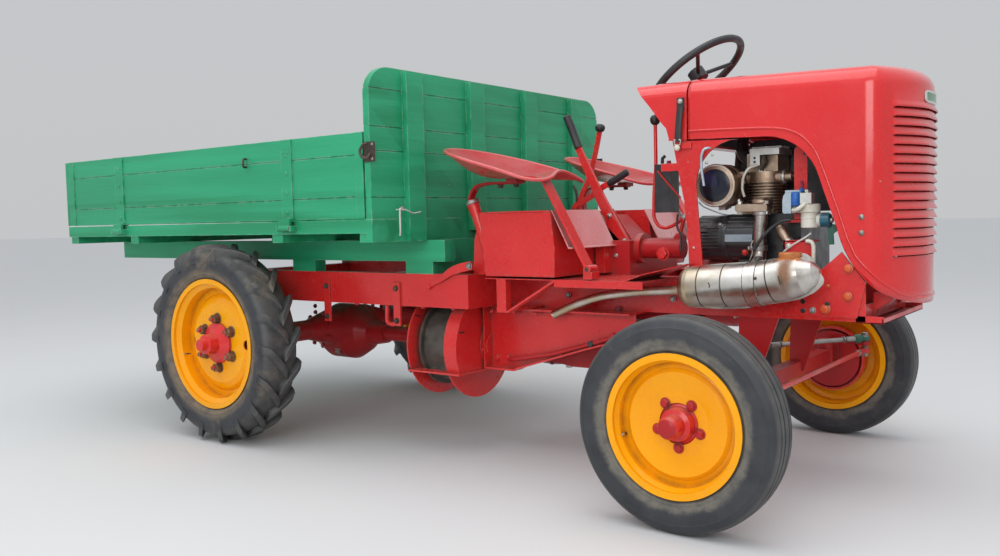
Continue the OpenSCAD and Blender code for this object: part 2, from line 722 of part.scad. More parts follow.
// Posts under the cowl, bolted to the front rails, with the black box behind them
hood_slope = 1.9;
column_axis = [-sin(wheel_tilt), 0, cos(wheel_tilt)];
wheel_centre = [bed_front_x + 877, 0, 1402];
column_r = 11;
column_tube_r = 22;
gear_low = wheel_centre - 226 * column_axis;
gear_seat = hood_side_z - board_gap - 18;
gear_shaft_r = 10;
function seam_z(x) = hood_side_z - (x - hood_seam_x) * tan(hood_slope);
module dash_posts() {
    outer = hood_w / 2 - sheet_t;
    foot = front_rail_top - 50;
    x = hood_seam_x;
    arc_at = [x + 168, 998];
    color(red) both_sides() {
        plate_y([outer - 6, outer]) {
            polygon(concat(
                [[x - 58, seam_z(x - 58) - board_gap], [x - 19, 952], [x - 6, 835], [x, foot],
                 [x + 50, foot], [x + 46, 736], [x + 27, 966]],
                arc(arc_at, 143, 193, 100, 8),
                [[x + 172, seam_z(x + 172) - board_gap]]));
            polygon([[x - 35, 1095], [x - 35, 1195], [x - 8, 1195], [x - 8, 1095]]);
        }
        block([x + 2, x + 48], [front_rail_w / 2, outer], [foot, foot + 46]);
    }
    color(red) difference() {
        block([x + 17, x + 69], [-outer + 6, outer - 6], [gear_seat - 6, gear_seat]);
        translate([gear_low[0], drop_pin[1], gear_seat - 10]) cylinder(r = gear_shaft_r + 3, h = 20);
    }
    color(black) block([bed_front_x + 807, bed_front_x + 870], [-200, -140], [912, 1078]);
    color(red) {
        block([bed_front_x + 864, x - 25], [-outer, -outer + 4], [1050, 1075]);
        block([bed_front_x + 864, bed_front_x + 870], [-outer, -190], [1050, 1075]);
    }
}

// Steering gear: column, its lower box, the shaft on the left and the box over the drop arm
module steering_gear() {
    x = gear_low[0];
    z = gear_low[2];
    color(red) translate(wheel_centre) rotate([0, -wheel_tilt, 0]) rotate_extrude()
        polygon([[0, -210], [column_tube_r, -210], [column_tube_r, -60], [column_r, -60], [column_r, -2],
                 [0, -2]]);
    color(black) {
        block([x - 38, x + 42], [-45, 45], [gear_seat, z + 40]);
        bent_bar([[x, 40, z - 25], [x + 1, drop_pin[1], z - 60], [x, drop_pin[1], drop_box_z[1] - 10]],
                 gear_shaft_r);
        difference() {
            block([drop_shaft[0] - 30, x + 20], [150, drop_pin[1] + 30], drop_box_z);
            translate([drop_shaft[0], drop_shaft[1], drop_box_z[0] - 1])
                cylinder(r = drop_shaft_r + fit, h = drop_box_z[1] - drop_box_z[0] - 10);
        }
    }
}

// Steering wheel
module steering_wheel() {
    color(black) translate(wheel_centre) rotate([0, -wheel_tilt, 0]) {
        rotate_extrude() translate([wheel_r - 13, 0]) circle(r = 13);
        for (a = [60, 180, 300]) rotate([0, 0, a]) bar([24, 0, -6], [wheel_r - 18, 0, -2], 7);
        difference() {
            translate([0, 0, -26]) cylinder(r = 30, h = 40);
            translate([0, 0, -27]) cylinder(r = column_r + fit, h = 27);
        }
    }
}

// Hood: sloping top, side outline with the open arch, and a bowed nose; every outer edge is rounded alike
nose_r = 413;
corner_r = 60;
nose_cx = nose_x - nose_r;
corner_y = hood_w / 2 - corner_r;
corner_x = nose_cx + sqrt(pow(nose_r - corner_r, 2) - pow(corner_y, 2));
corner_a = atan2(corner_y, corner_x - nose_cx);
module rounded_post(r, top, round) {
    rotate_extrude() polygon(concat([[0, 500], [r, 500]], arc([r - round, top - round], round, 0, 90, 8), [[0, top]]));
}
module hood_section(inset, top) {
    half = hood_w / 2 - inset;
    r = corner_r - inset;
    polygon(concat([[-half, 400], [half, 400]], arc([half - r, top - inset - r], r, 0, 90, 10),
                   arc([-half + r, top - inset - r], r, 90, 180, 10)));
}
module hood_body(inset, from_x) {
    top = hood_top - inset;
    round = corner_r - inset;
    intersection() {
        translate([corner_x, 0, hood_top]) rotate([0, hood_slope, 0]) translate([-corner_x, 0, -hood_top])
            plate_x([from_x - 60, corner_x + 60]) hood_section(inset, hood_top);
        block([from_x, corner_x + 0.02], [-hood_w, hood_w], [380, hood_top + 60]);
    }
    for (s = [-1, 1]) translate([corner_x, s * corner_y, 0]) rounded_post(round, top, round - 0.01);
    intersection() {
        translate([nose_cx, 0, 0]) rounded_post(nose_r - inset, top, round);
        linear_extrude(hood_top + 60) polygon([
            [corner_x - 0.5, -corner_y], [nose_cx + 700 * cos(corner_a), -700 * sin(corner_a)], [nose_cx + 700, 0],
            [nose_cx + 700 * cos(corner_a), 700 * sin(corner_a)], [corner_x - 0.5, corner_y]]);
    }
}
arch_r = 183;
arch_x = hood_seam_x + 251;
flare_r = 326;
flare_at = [nose_x + 112, 921];
module arch_outline() {
    polygon(concat([[hood_seam_x - 10, seam_z(hood_seam_x - 10)]],
                   arc([arch_x, seam_z(arch_x) - arch_r], arch_r, 90, 16, 10),
                   arc(flare_at, flare_r, 192, 251, 8),
                   [[nose_x + 50, 605], [nose_x + 50, 300], [hood_seam_x - 10, 300]]));
}

// Louvres across the nose: a slot and the lip pressed out above it
louvres = 17;
louvre_z = 1203;
louvre_pitch = 27.4;
louvre_a = 32;
lip_out = 6;
module nose_band(points) {
    translate([nose_cx, 0, 0]) rotate([0, 0, -louvre_a]) rotate_extrude(angle = 2 * louvre_a) polygon(points);
}
module hood_lug(y) {
    x = nose_cx + sqrt(pow(nose_r - sheet_t, 2) - pow(y[1], 2)) + 0.5;
    plate_y(y) difference() {
        union() {
            translate(hood_pin) circle(r = 13);
            polygon([hood_pin + [-10, 8], hood_pin + [10, -8], [x, hood_pin[1] + 26], [x, hood_pin[1] + 56]]);
        }
        translate(hood_pin) circle(r = (hood_pin_r + fit) / cos(3), $fn = 60);
    }
}
module hood() {
    color(red) {
        difference() {
            hood_body(0, hood_seam_x);
            hood_body(sheet_t, hood_seam_x - 1);
            plate_y([-hood_w, hood_w]) arch_outline();
            for (i = [0:louvres - 1]) translate([0, 0, louvre_z - i * louvre_pitch])
                nose_band([[nose_r - 8, 2], [nose_r + 2, 2], [nose_r + 2, 11], [nose_r - 8, 11]]);
        }
        for (i = [0:louvres - 1]) translate([0, 0, louvre_z - i * louvre_pitch])
            nose_band([[nose_r + lip_out, 0], [nose_r + lip_out, 4], [nose_r, 23], [nose_r - 2, 23],
                       [nose_r - 2, 14], [nose_r + lip_out - 3, 3], [nose_r + lip_out - 3, 0]]);
        both_sides() hood_lug(hood_lug_y);
    }
}

// Cowl behind the hood: cheeks, top and the sloping dash between them
module cowl() {
    x = bed_front_x;
    front = hood_seam_x - board_gap;
    top = 1350;
    edge = [[x + 755, top + 1], [x + 823, 1271], [x + 867, 1212], [x + 885, 1192], [x + 894, 1160],
            [x + 894, hood_side_z]];
    color(red) {
        difference() {
            intersection() {
                plate_x([x + 750, front]) hood_section(0, top);
                plate_y([-hood_w, hood_w]) polygon(concat(edge, [[front, hood_side_z], [front, top + 1]]));
            }
            plate_x([x + 740, front + 1]) hood_section(sheet_t, top);
            block([x + 740, x + 840], [-corner_y - 22, corner_y + 22], [1200, top + 10]);
            bar(wheel_centre, wheel_centre - column_axis * 200, 24);
        }
        intersection() {
            plate_y([-hood_w, hood_w]) polygon([[x + 838, top - 2], [x + 842, top - 2], [x + 902, hood_side_z],
                                                [x + 898, hood_side_z]]);
            plate_x([x + 740, front]) hood_section(sheet_t - 1, top);
        }
    }
}

// Winch: rear guard plate, front guard with its cup, bar under them, tie and shaft
winch = [bed_front_x, -290, 420];
cup_x = [80, 140];
guard_bar_z = -91;
module guard_plate(x, top) {
    intersection() {
        disc_x(guard_r, x);
        block([x[0] - 1, x[1] + 1], [-guard_r - 1, guard_r + 1], [-guard_r - 1, top]);
    }
}
module winch_frame() {
    color(red) translate(winch) {
        guard_plate([-106, -100], 185);
        guard_plate([cup_x[0], cup_x[0] + 6], 180);
        intersection() {
            difference() {
                disc_x(guard_r, [cup_x[0] + 1, cup_x[1]]);
                disc_x(guard_r - 5, [cup_x[0], cup_x[1] - 5]);
            }
            plate_x([cup_x[0] - 1, cup_x[1] + 1])
                polygon([[-guard_r - 1, guard_bar_z], [-guard_r - 1, 180], [-91, 180], [-47, 130],
                         [guard_r + 1, 130], [guard_r + 1, guard_bar_z]]);
        }
        block([-106, cup_x[1] + 10], [-205, -152], [guard_bar_z - 3, guard_bar_z + 3]);
        block([cup_x[1] - 3, cup_x[1] + 10], [-160, -12], [guard_bar_z - 3, guard_bar_z + 3]);
        block([-103, cup_x[0] + 3], [guard_r - 14, guard_r - 2], [-20, 20]);
        disc_x(62, [cup_x[1] - 2, cup_x[1] + 8]);
    }
    color(iron) translate(winch) disc_x(20, [-101, cup_x[1] - 1]);
}
module winch_drum() {
    color(iron) translate(winch) difference() {
        union() {
            disc_x(drum_r, [-70, 60]);
            for (x = [-80, 58]) disc_x(drum_r + 18, [x, x + 12]);
        }
        disc_x(20 + fit, [-90, 78]);
    }
}
module winch_bracket() {
    x = [cross_x - 50, bed_front_x + 780];
    y = -300;
    top = front_rail_z;
    lip = 45;
    edge = [[x[1], 484], [x[1] - 180, 434], [x[0] + 160, 345], [x[0] + 140, 335], [x[0], 335]];
    color(red) {
        plate_y([y, y + steel_t]) polygon(concat([[x[0], top], [x[1], top]], edge));
        block([x[0], x[0] + steel_t], [y - lip, -245], [335, top]);
        block([cross_x + 2 * steel_t, x[1]], [y - lip, -front_rail_w / 2 + 40], [top - steel_t, top]);
        plate_y([y - lip, y]) polygon(concat(edge, [for (i = [4:-1:0]) edge[i] + [0, steel_t]]));
        translate([0, winch[1], winch[2]]) disc_x(45, [winch[0] + cup_x[1] + 8, x[0] + 1]);
    }
}

// Bed: floor, sills, bearers, long timbers, bolster and hinge pins
bed_rear_x = bed_front_x - bed_len;
floor_z = sill_z + 42;
sill_top = sill_z + sill_h;
bearer_h = 32;
timber_z = [750, sill_z - bearer_h];
hinge_y = bed_w / 2 + 22;
hinge_z = sill_z + 24;
hinge_r = 11;
hinge_pin_r = 6;
strap_w = 60;
side_straps = [bed_front_x - 1590, bed_front_x - 440];
gate_straps = [-480, 480];
gate_hinge_x = bed_rear_x - 22;
bearers = [bed_rear_x + 44, bed_front_x - 1500, bed_front_x - 515, bed_front_x - 36];
module bed_frame() {
    half = bed_w / 2;
    sill_w = 60;
    color(green) {
        both_sides() block([bed_rear_x, bed_front_x - plank_t], [half - sill_w, half], [sill_z, sill_top]);
        block([bed_rear_x, bed_rear_x + sill_w], [-half + sill_w, half - sill_w], [sill_z, sill_top]);
        block([bed_front_x - plank_t, bed_front_x], [-half, half], [sill_z - bearer_h, sill_top]);
        for (x = bearers) block([x - 32, x + 32 - 4], [-half + 5, half - 5], [sill_z - bearer_h, sill_z]);
        both_sides() block([bed_rear_x + 22, bed_front_x + 100], [440, 500], timber_z);
        block([bed_front_x - 20, bed_front_x + 30], [-440, 440], [rear_rail_top, sill_z - bearer_h]);
        both_sides() for (x = [rear_axle_x - 340, rear_axle_x + 200, bed_front_x - 96])
            block([x, x + 136], [440, 500], [rear_rail_top, timber_z[0]]);
    }
    color(iron) {
        both_sides() for (x = side_straps) {
            translate([x, hinge_y, hinge_z]) disc_x(hinge_pin_r, [-strap_w / 2 - 12, strap_w / 2 + 12]);
            for (e = [-strap_w / 2 - 12, strap_w / 2 + 4])
                block([x + e, x + e + 8], [half, hinge_y + 9], [hinge_z - 12, hinge_z + 9]);
        }
        for (y = gate_straps) {
            translate([gate_hinge_x, y, hinge_z]) disc_y(hinge_pin_r, [-strap_w / 2 - 12, strap_w / 2 + 12]);
            for (e = [-strap_w / 2 - 12, strap_w / 2 + 4])
                block([gate_hinge_x - 9, bed_rear_x], [y + e, y + e + 8], [hinge_z - 12, hinge_z + 9]);
        }
    }
}
module bed_floor() {
    half = bed_w / 2 - 60;
    boards = 9;
    w = 2 * half / boards;
    color(green) for (i = [0:boards - 1])
        block([bed_rear_x + 60, bed_front_x - plank_t], [-half + i * w + 1, -half + (i + 1) * w - 1],
              [sill_z, floor_z]);
}

// Headboard: planks with grooves at their joints, and four battens
headboard_joints = [989, 1154, 1239, 1372];
batten_y = [-555, -186, 186, 555];
module headboard() {
    half = bed_w / 2;
    top = sill_top + headboard_h;
    color(green) {
        difference() {
            plate_x([bed_front_x - plank_t, bed_front_x]) union() {
                translate([-half, sill_top]) square([bed_w, headboard_h - headboard_r]);
                translate([-half + headboard_r, sill_top]) square([bed_w - 2 * headboard_r, headboard_h]);
                for (s = [-1, 1]) translate([s * (half - headboard_r), top - headboard_r])
                    circle(r = headboard_r);
            }
            for (z = headboard_joints) for (x = [bed_front_x - 3, bed_front_x - plank_t - 1])
                block([x, x + 4], [-half - 1, half + 1], [z - 2, z + 2]);
        }
        for (y = batten_y)
            block([bed_front_x, bed_front_x + 24], [y - 45, y + 45],
                  [abs(y) > 300 && y < 0 ? sill_z - bearer_h : sill_z, top - 8]);
    }
}

// A drop board, drawn with its outer face at Y = 0 and its hinge below, between X = 0 and its length
side_joints = [992, 1140];
module drop_board(length, straps) {
    z = [sill_top + board_gap, sill_top + side_h];
    color(green) {
        difference() {
            block([0, length], [-plank_t, 0], z);
            for (j = side_joints) for (y = [-3, -plank_t - 1])
                block([-1, length + 1], [y, y + 4], [j - 2, j + 2]);
        }
        for (x = [0, length - 40]) block([x, x + 40], [0, 4], z);
    }
    color(iron) for (x = straps) difference() {
        union() {
            plate_x([x - strap_w / 2, x + strap_w / 2])
                polygon([[0, z[1]], [6, z[1]], [6, z[0] + 8], [26, z[0] + 2], [26, hinge_z], [14, hinge_z],
                         [14, z[0] - 3], [0, z[0] + 2]]);
            translate([x, 22, hinge_z]) disc_x(hinge_r, [-strap_w / 2, strap_w / 2]);
        }
        translate([x, 22, hinge_z]) disc_x(hinge_pin_r + fit, [-strap_w / 2 - 1, strap_w / 2 + 1]);
    }
}
side_x = [bed_rear_x + plank_t + board_gap, bed_front_x - plank_t - board_gap];
module side_board() {
    translate([side_x[0], bed_w / 2, 0])
        drop_board(side_x[1] - side_x[0], [for (x = side_straps) x - side_x[0]]);
}
module tailgate() {
    translate([bed_rear_x, -bed_w / 2, 0]) rotate([0, 0, 90])
        drop_board(bed_w, [for (y = gate_straps) y + bed_w / 2]);
}

front_rails();
rear_rails();
rear_axle();
front_axle();
gearbox();
engine_block();
cylinder_stack();  // cylinder
air_filter();
generator();
fuel_system();
muffler();
platform();
seat_base();
seat(-1);  // seat_right
seat(1);  // seat_left
seat_posts();
levers();
dash_posts();
steering_gear();
cowl();
winch_frame();
winch_bracket();
bed_frame();
bed_floor();
headboard();
rear_wheel_at(-1) rear_tyre();  // rear_tyre_right
rear_wheel_at(-1) rear_rim();  // rear_rim_right
rear_wheel_at(-1) rear_hub();  // rear_hub_right
rear_wheel_at(1) rear_tyre();  // rear_tyre_left
rear_wheel_at(1) rear_rim();  // rear_rim_left
rear_wheel_at(1) rear_hub();  // rear_hub_left
knuckle(-1);  // knuckle_right
knuckle(1);  // knuckle_left
front_wheel_at(-1) front_tyre();  // front_tyre_right
front_wheel_at(-1) front_rim();  // front_rim_right
front_wheel_at(-1) front_hub();  // front_hub_right
front_wheel_at(1) front_tyre();  // front_tyre_left
front_wheel_at(1) front_rim();  // front_rim_left
front_wheel_at(1) front_hub();  // front_hub_left
tie_rod();
drag_link();
drop_arm();
steering_wheel();
winch_drum();
mirror([0, 1, 0]) side_board();  // side_right
side_board();  // side_left
tailgate();
hood();
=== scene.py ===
from math import copysign, cos, exp, pi, radians, sin, sqrt, tan, tau

import bmesh
import bpy
from mathutils import Matrix, Vector


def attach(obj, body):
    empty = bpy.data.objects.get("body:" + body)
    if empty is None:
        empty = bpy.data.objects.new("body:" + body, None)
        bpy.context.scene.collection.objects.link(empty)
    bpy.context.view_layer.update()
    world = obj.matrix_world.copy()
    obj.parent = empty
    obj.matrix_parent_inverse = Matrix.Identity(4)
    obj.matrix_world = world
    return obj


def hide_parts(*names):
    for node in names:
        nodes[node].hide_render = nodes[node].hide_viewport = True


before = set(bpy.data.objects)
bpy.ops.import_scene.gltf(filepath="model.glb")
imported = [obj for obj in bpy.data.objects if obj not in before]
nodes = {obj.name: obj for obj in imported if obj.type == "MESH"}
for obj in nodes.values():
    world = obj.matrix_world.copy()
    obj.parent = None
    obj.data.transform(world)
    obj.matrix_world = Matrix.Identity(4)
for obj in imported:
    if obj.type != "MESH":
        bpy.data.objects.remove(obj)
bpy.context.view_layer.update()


# Node graphs
def fill_ramp(band, stops):
    while len(band.elements) < len(stops):
        band.elements.new(0.5)
    for element, (at, colour) in zip(band.elements, stops):
        element.position = at
        element.color = (*colour, 1.0)


class Value:
    """A node's output, which can be added to, taken from and multiplied by a number or another output."""

    def __init__(self, graph, socket):
        self.graph = graph
        self.socket = socket

    def __add__(self, other):
        return self.graph.math("ADD", self, other)

    def __sub__(self, other):
        return self.graph.math("SUBTRACT", self, other)

    def __rsub__(self, other):
        return self.graph.math("SUBTRACT", other, self)

    def __mul__(self, other):
        return self.graph.math("MULTIPLY", self, other)


class Graph:
    """A material and short calls that add nodes to it; places are those of the machine at rest, in metres."""

    def __init__(self, name):
        self.mat = bpy.data.materials.new(name)
        self.mat.use_nodes = True
        self.tree = self.mat.node_tree
        self.bsdf = self.tree.nodes["Principled BSDF"]
        self.place = self.add("ShaderNodeTexCoord", {}, "Object")
        self.normal = self.add("ShaderNodeNewGeometry", {}, "Normal")

    def add(self, kind, inputs, output=0, **settings):
        """Add a node with its settings and inputs and give back one output."""
        made = self.tree.nodes.new(kind)
        for key, value in settings.items():
            setattr(made, key, value)
        for key, value in inputs.items():
            self.feed(made.inputs[key], value)
        return Value(self, made.outputs[output])

    def feed(self, socket, value):
        """Link an output to a socket, or write a plain number, vector or colour on it."""
        if isinstance(value, Value):
            self.tree.links.new(value.socket, socket)
        elif socket.type == "RGBA":
            socket.default_value = (*value, 1.0)
        else:
            socket.default_value = value

    def set(self, **values):
        for key, value in values.items():
            self.feed(self.bsdf.inputs[key.replace("_", " ")], value)

    def math(self, operation, a, b=0.0):
        return self.add("ShaderNodeMath", {0: a, 1: b}, operation=operation)

    def stretched(self, scale):
        return self.add("ShaderNodeMapping", {"Vector": self.place, "Scale": scale})

    def noise(self, scale, detail=3.0, rough=0.5, vector=None, distortion=0.0):
        inputs = {"Vector": vector or self.place, "Scale": scale, "Detail": detail, "Roughness": rough}
        return self.add("ShaderNodeTexNoise", {**inputs, "Distortion": distortion}, "Fac")

    def cells(self, scale):
        return self.add("ShaderNodeTexVoronoi", {"Vector": self.place, "Scale": scale}, "Distance")

    def span(self, value, low, high, to=(0.0, 1.0)):
        """Map the span from low to high softly to another."""
        inputs = {"Value": value, "From Min": low, "From Max": high, "To Min": to[0], "To Max": to[1]}
        return self.add("ShaderNodeMapRange", inputs, "Result", interpolation_type="SMOOTHSTEP")

    def mix(self, share, a, b):
        return self.add("ShaderNodeMix", {0: share, 6: a, 7: b}, 2, data_type="RGBA")

    def ramp(self, value, stops):
        tone = self.add("ShaderNodeValToRGB", {0: value})
        fill_ramp(tone.socket.node.color_ramp, stops)
        return tone

    def part(self, axis, vector=None):
        """One coordinate of a vector, or else of the place at rest."""
        return self.add("ShaderNodeSeparateXYZ", {0: vector or self.place}, "XYZ".index(axis))

    def edges(self, radius):
        """1 on outer edges, 0 on flats."""
        soft = self.add("ShaderNodeBevel", {"Radius": radius}, samples=4)
        dot = self.add("ShaderNodeVectorMath", {0: soft, 1: self.normal}, "Value", operation="DOT_PRODUCT")
        return self.span(dot, 0.985, 0.8)

    def hollows(self, distance):
        """1 in corners and under ledges, 0 in the open; the looks mix a darker colour in with it, which is
        painted shade.
        """
        return self.span(self.add("ShaderNodeAmbientOcclusion", {"Distance": distance}, "AO",
            samples=4), 0.75, 0.25)

    def bump(self, height, depth, strength=1.0):
        inputs = {"Strength": strength, "Distance": depth, "Height": height}
        self.set(Normal=self.add("ShaderNodeBump", inputs))


def paint(name, colour, faded, under, rough=0.3, coat=0.5, dust=0.25, wear=0.35, dirt=(0.1, 0.075, 0.055),
        peel=0.35, shine=0.4):
    """Brushed gloss paint: drifting tone, dust on top, dirt and painted shade in corners, chips at edges and
    a few flecks.
    """
    g = Graph(name)
    drift = g.span(g.noise(2.6, 3, 0.55), 0.32, 0.70)
    tone = g.mix(drift, colour, faded)
    speck = g.noise(90, 4, 0.6)
    tone = g.mix(g.span(speck, 0.45, 0.75, (0.0, peel * 0.5)), tone, under)
    # Painted shade with some dirt: the colour darkens towards the dirt colour in corners and under ledges.
    corner = g.hollows(0.045) * g.span(g.noise(14, 4, 0.6), 0.25, 0.65)
    tone = g.mix(corner * 0.75, tone, dirt)
    top = g.span(g.part("Z", g.normal), 0.35, 0.95) * g.span(g.noise(6, 5, 0.6), 0.3, 0.75)
    tone = g.mix(top * dust, tone, (0.42, 0.36, 0.31))
    chips = g.edges(0.0035) * g.span(g.noise(55, 3, 0.6), 0.62 - wear * 0.4, 0.66 - wear * 0.25)
    flecks = g.span(g.cells(26), 0.085, 0.055) * g.span(g.noise(3.2, 2), 0.56, 0.62)
    bare = g.math("MAXIMUM", chips, flecks)
    tone = g.mix(bare * 0.85, tone, under)
    smear = g.span(g.noise(9, 4, 0.55), 0.3, 0.8, (rough - 0.07, rough + 0.16))
    g.set(Base_Color=tone, Roughness=g.math("MAXIMUM", smear, corner * 0.75), Coat_Weight=coat,
        Coat_Roughness=0.12, Specular_IOR_Level=shine)
    skin = g.noise(230, 2) * (peel * 0.7) + g.noise(26, 3) * 1.0
    g.bump(skin - bare * 0.6, 0.0011, peel)
    return g.mat


def painted_wood(name, along):
    """Green painted boards: grain along one axis, a tone for each board, paint rubbed off the edges, painted
    shade in corners.
    """
    g = Graph(name)

    def grain_way(across, lengthwise):
        scale = [across] * 3
        scale["XYZ".index(along)] = lengthwise
        return g.stretched(scale)

    grain = g.noise(1.0, 5, 0.62, grain_way(70.0, 3.2), 0.6)
    streak = g.noise(1.0, 3, 0.5, grain_way(14.0, 0.9))
    level = g.part("Z") * 6.76 + g.part("Y") * 6.33
    board = g.add("ShaderNodeTexWhiteNoise", {"W": g.math("FLOOR", level)}, noise_dimensions="1D")
    tone = g.mix(board, (0.012, 0.250, 0.105), (0.018, 0.315, 0.145))
    tone = g.mix(g.span(streak, 0.35, 0.72), tone, (0.026, 0.370, 0.180))
    tone = g.mix(g.span(grain, 0.60, 0.78, (0.0, 0.45)), tone, (0.010, 0.150, 0.075))
    # Painted shade: the green darkens in corners and under ledges.
    corner = g.hollows(0.05)
    tone = g.mix(corner * 0.55, tone, (0.015, 0.075, 0.04))
    rub = g.span(g.noise(17, 5, 0.65), 0.42, 0.60)
    edge = g.edges(0.006) * rub
    tone = g.mix(edge * 0.85, tone, (0.27, 0.52, 0.36))
    flake = g.span(g.noise(1.0, 4, 0.7, grain_way(22.0, 5.0)), 0.7, 0.725)
    chip = flake * g.span(g.noise(2.2, 2), 0.5, 0.62)
    tone = g.mix(chip, tone, (0.38, 0.50, 0.38))
    g.set(Base_Color=tone, Roughness=g.span(streak, 0.3, 0.8, (0.34, 0.52)), Coat_Weight=0.16,
        Coat_Roughness=0.28, Specular_IOR_Level=0.35)
    height = grain * -1.0 + streak * 1.6
    g.bump(height - chip * 0.8, 0.0022, 0.5)
    return g.mat


def rubber(name, centre, radii, dirt, share):
    """Tyre rubber: blue-black wall, worn grey tread, dry dirt in a band of the wall next to the rim, and
    painted shade in corners.
    """
    g = Graph(name)
    dx = g.part("X") - centre[0]
    dz = g.part("Z") - centre[1]
    r = g.math("SQRT", dx * dx + dz * dz)
    cloud = g.noise(8, 6, 0.62)
    tone = g.ramp(cloud, [(0.3, (0.02, 0.022, 0.027)), (0.6, (0.042, 0.045, 0.052)),
        (0.85, (0.075, 0.077, 0.083))])
    tread = g.span(r, radii[2], radii[3])
    worn = g.ramp(g.noise(15, 5, 0.65), [(0.30, (0.050, 0.050, 0.051)), (0.75, (0.125, 0.120, 0.113))])
    tone = g.mix(tread * 0.75, tone, worn)
    edge = r + (g.noise(11, 5, 0.7) - 0.5) * 0.05
    band = g.span(edge, radii[1], radii[0])
    dry = band * g.span(g.noise(19, 5, 0.7), 0.3, 0.62, (0.35, 1.0))
    spots = g.span(g.noise(6, 6, 0.7), 0.53, 0.7) * share
    tone = g.mix(g.math("MAXIMUM", dry * 0.85, spots), tone, dirt)
    # Painted shade: the rubber darkens in corners and under ledges.
    corner = g.hollows(0.03)
    tone = g.mix(corner * 0.6, tone, (0.022, 0.02, 0.019))
    rub = g.edges(0.004) * g.span(g.noise(24, 4, 0.6), 0.35, 0.65)
    tone = g.mix(rub * 0.5, tone, (0.15, 0.15, 0.15))
    rings = g.math("SINE", r * 1400.0)
    fine = rings * (1.0 - tread)
    g.set(Base_Color=tone, Roughness=g.span(cloud, 0.25, 0.8, (0.46, 0.66)) + dry * 0.25,
        Specular_IOR_Level=0.45)
    g.bump(g.noise(70, 5, 0.65) + fine * 0.1, 0.002, 0.45)
    return g.mat


def metal(name, stops, rough=(0.28, 0.5), metallic=1.0, scale=9.0, depth=0.0009,
        grime_and_shade=(0.035, 0.028, 0.022)):
    """Bare metal whose tint drifts along a ramp, with grime and painted shade in its corners."""
    g = Graph(name)
    tone = g.ramp(g.noise(scale, 5, 0.6, distortion=0.4), stops)
    # Painted shade with some grime: darker colour and less metal in corners and under ledges.
    corner = g.hollows(0.03) * g.span(g.noise(22, 4), 0.25, 0.6)
    tone = g.mix(corner * 0.8, tone, grime_and_shade)
    g.set(Base_Color=tone, Metallic=metallic - corner * (metallic * 0.7),
        Roughness=g.span(g.noise(scale * 3.1, 4, 0.6), 0.3, 0.75, rough))
    g.bump(g.noise(70, 4, 0.6) + g.noise(320, 2) * 0.4, depth, 0.5)
    return g.mat


def plain_coat(name, colour, other, rough=0.45, scale=12.0, coat=0.0, depth=0.0008):
    """Plastic, rubber hose or dull paint with a little drift and dust."""
    g = Graph(name)
    tone = g.mix(g.span(g.noise(scale, 4, 0.6), 0.35, 0.7), colour, other)
    top = g.span(g.part("Z", g.normal), 0.4, 0.95) * g.span(g.noise(11, 4, 0.6), 0.35, 0.75)
    tone = g.mix(top * 0.22, tone, (0.3, 0.27, 0.24))
    g.set(Base_Color=tone, Roughness=g.span(g.noise(scale * 2, 3), 0.3, 0.7, (rough - 0.08, rough + 0.14)),
        Coat_Weight=coat, Coat_Roughness=0.2)
    g.bump(g.noise(130, 3, 0.6), depth, 0.4)
    return g.mat


RED = paint("red paint", (0.60, 0.012, 0.014), (0.70, 0.026, 0.026), (0.46, 0.17, 0.13), coat=0.25)
# Painted shade: a darker copy of the red paint, used on the axles, gearbox, steering arms, small fittings and
# the inner sides of the hood and seat pans.
SHADED_RED = paint("red paint darkened as painted shade", (0.4, 0.01, 0.014), (0.5, 0.018, 0.022), (0.18, 0.07, 0.05), rough=0.38,
    coat=0.15, dust=0.3, wear=0.2, shine=0.3)
HOOD_RED = paint("hood paint", (0.64, 0.01, 0.012), (0.7, 0.016, 0.018), (0.6, 0.2, 0.17), rough=0.2,
    coat=0.7, dust=0.05, wear=0.1, peel=0.12)
ORANGE = paint("wheel paint", (0.92, 0.36, 0.0), (0.95, 0.41, 0.0), (0.5, 0.2, 0.05), rough=0.28, coat=0.15,
    dust=0.02, wear=0.12, dirt=(0.3, 0.13, 0.02), peel=0.2, shine=0.25)
WOOD_X = painted_wood("painted boards along", "X")
WOOD_Y = painted_wood("painted boards across", "Y")
REAR_RUBBER = rubber("lug tyre rubber", (-0.725, 0.413), (0.292, 0.325, 0.35, 0.375),
    (0.21, 0.165, 0.115), 0.55)
FRONT_RUBBER = rubber("ribbed tyre rubber", (1.365, 0.311), (0.232, 0.252, 0.296, 0.306),
    (0.185, 0.17, 0.14), 0.15)
BRONZE = metal("bronze castings", [(0.28, (0.16, 0.1, 0.065)), (0.5, (0.4, 0.29, 0.21)),
    (0.72, (0.56, 0.45, 0.36))], rough=(0.32, 0.52))
GREY_STEEL = metal("grey steel", [(0.3, (0.2, 0.19, 0.18)), (0.55, (0.38, 0.37, 0.35)),
    (0.8, (0.22, 0.16, 0.12))], rough=(0.36, 0.6))
DARK_IRON = metal("rusty dark iron", [(0.3, (0.045, 0.035, 0.03)), (0.55, (0.1, 0.075, 0.06)),
    (0.8, (0.19, 0.1, 0.06))], rough=(0.45, 0.7), metallic=0.6)
BOLT_STEEL = metal("zinc bolts", [(0.3, (0.42, 0.4, 0.36)), (0.6, (0.62, 0.6, 0.56)),
    (0.85, (0.34, 0.24, 0.16))], rough=(0.3, 0.5), scale=30.0)
RUSTY = metal("rusty studs", [(0.3, (0.13, 0.065, 0.04)), (0.55, (0.24, 0.14, 0.09)),
    (0.8, (0.36, 0.27, 0.2))], rough=(0.5, 0.75), metallic=0.55, scale=40.0, depth=0.0014)
BLACK = plain_coat("black enamel", (0.012, 0.012, 0.014), (0.026, 0.027, 0.030), rough=0.34, coat=0.3)
GRIP = plain_coat("black grip", (0.016, 0.016, 0.018), (0.034, 0.034, 0.038), rough=0.42)
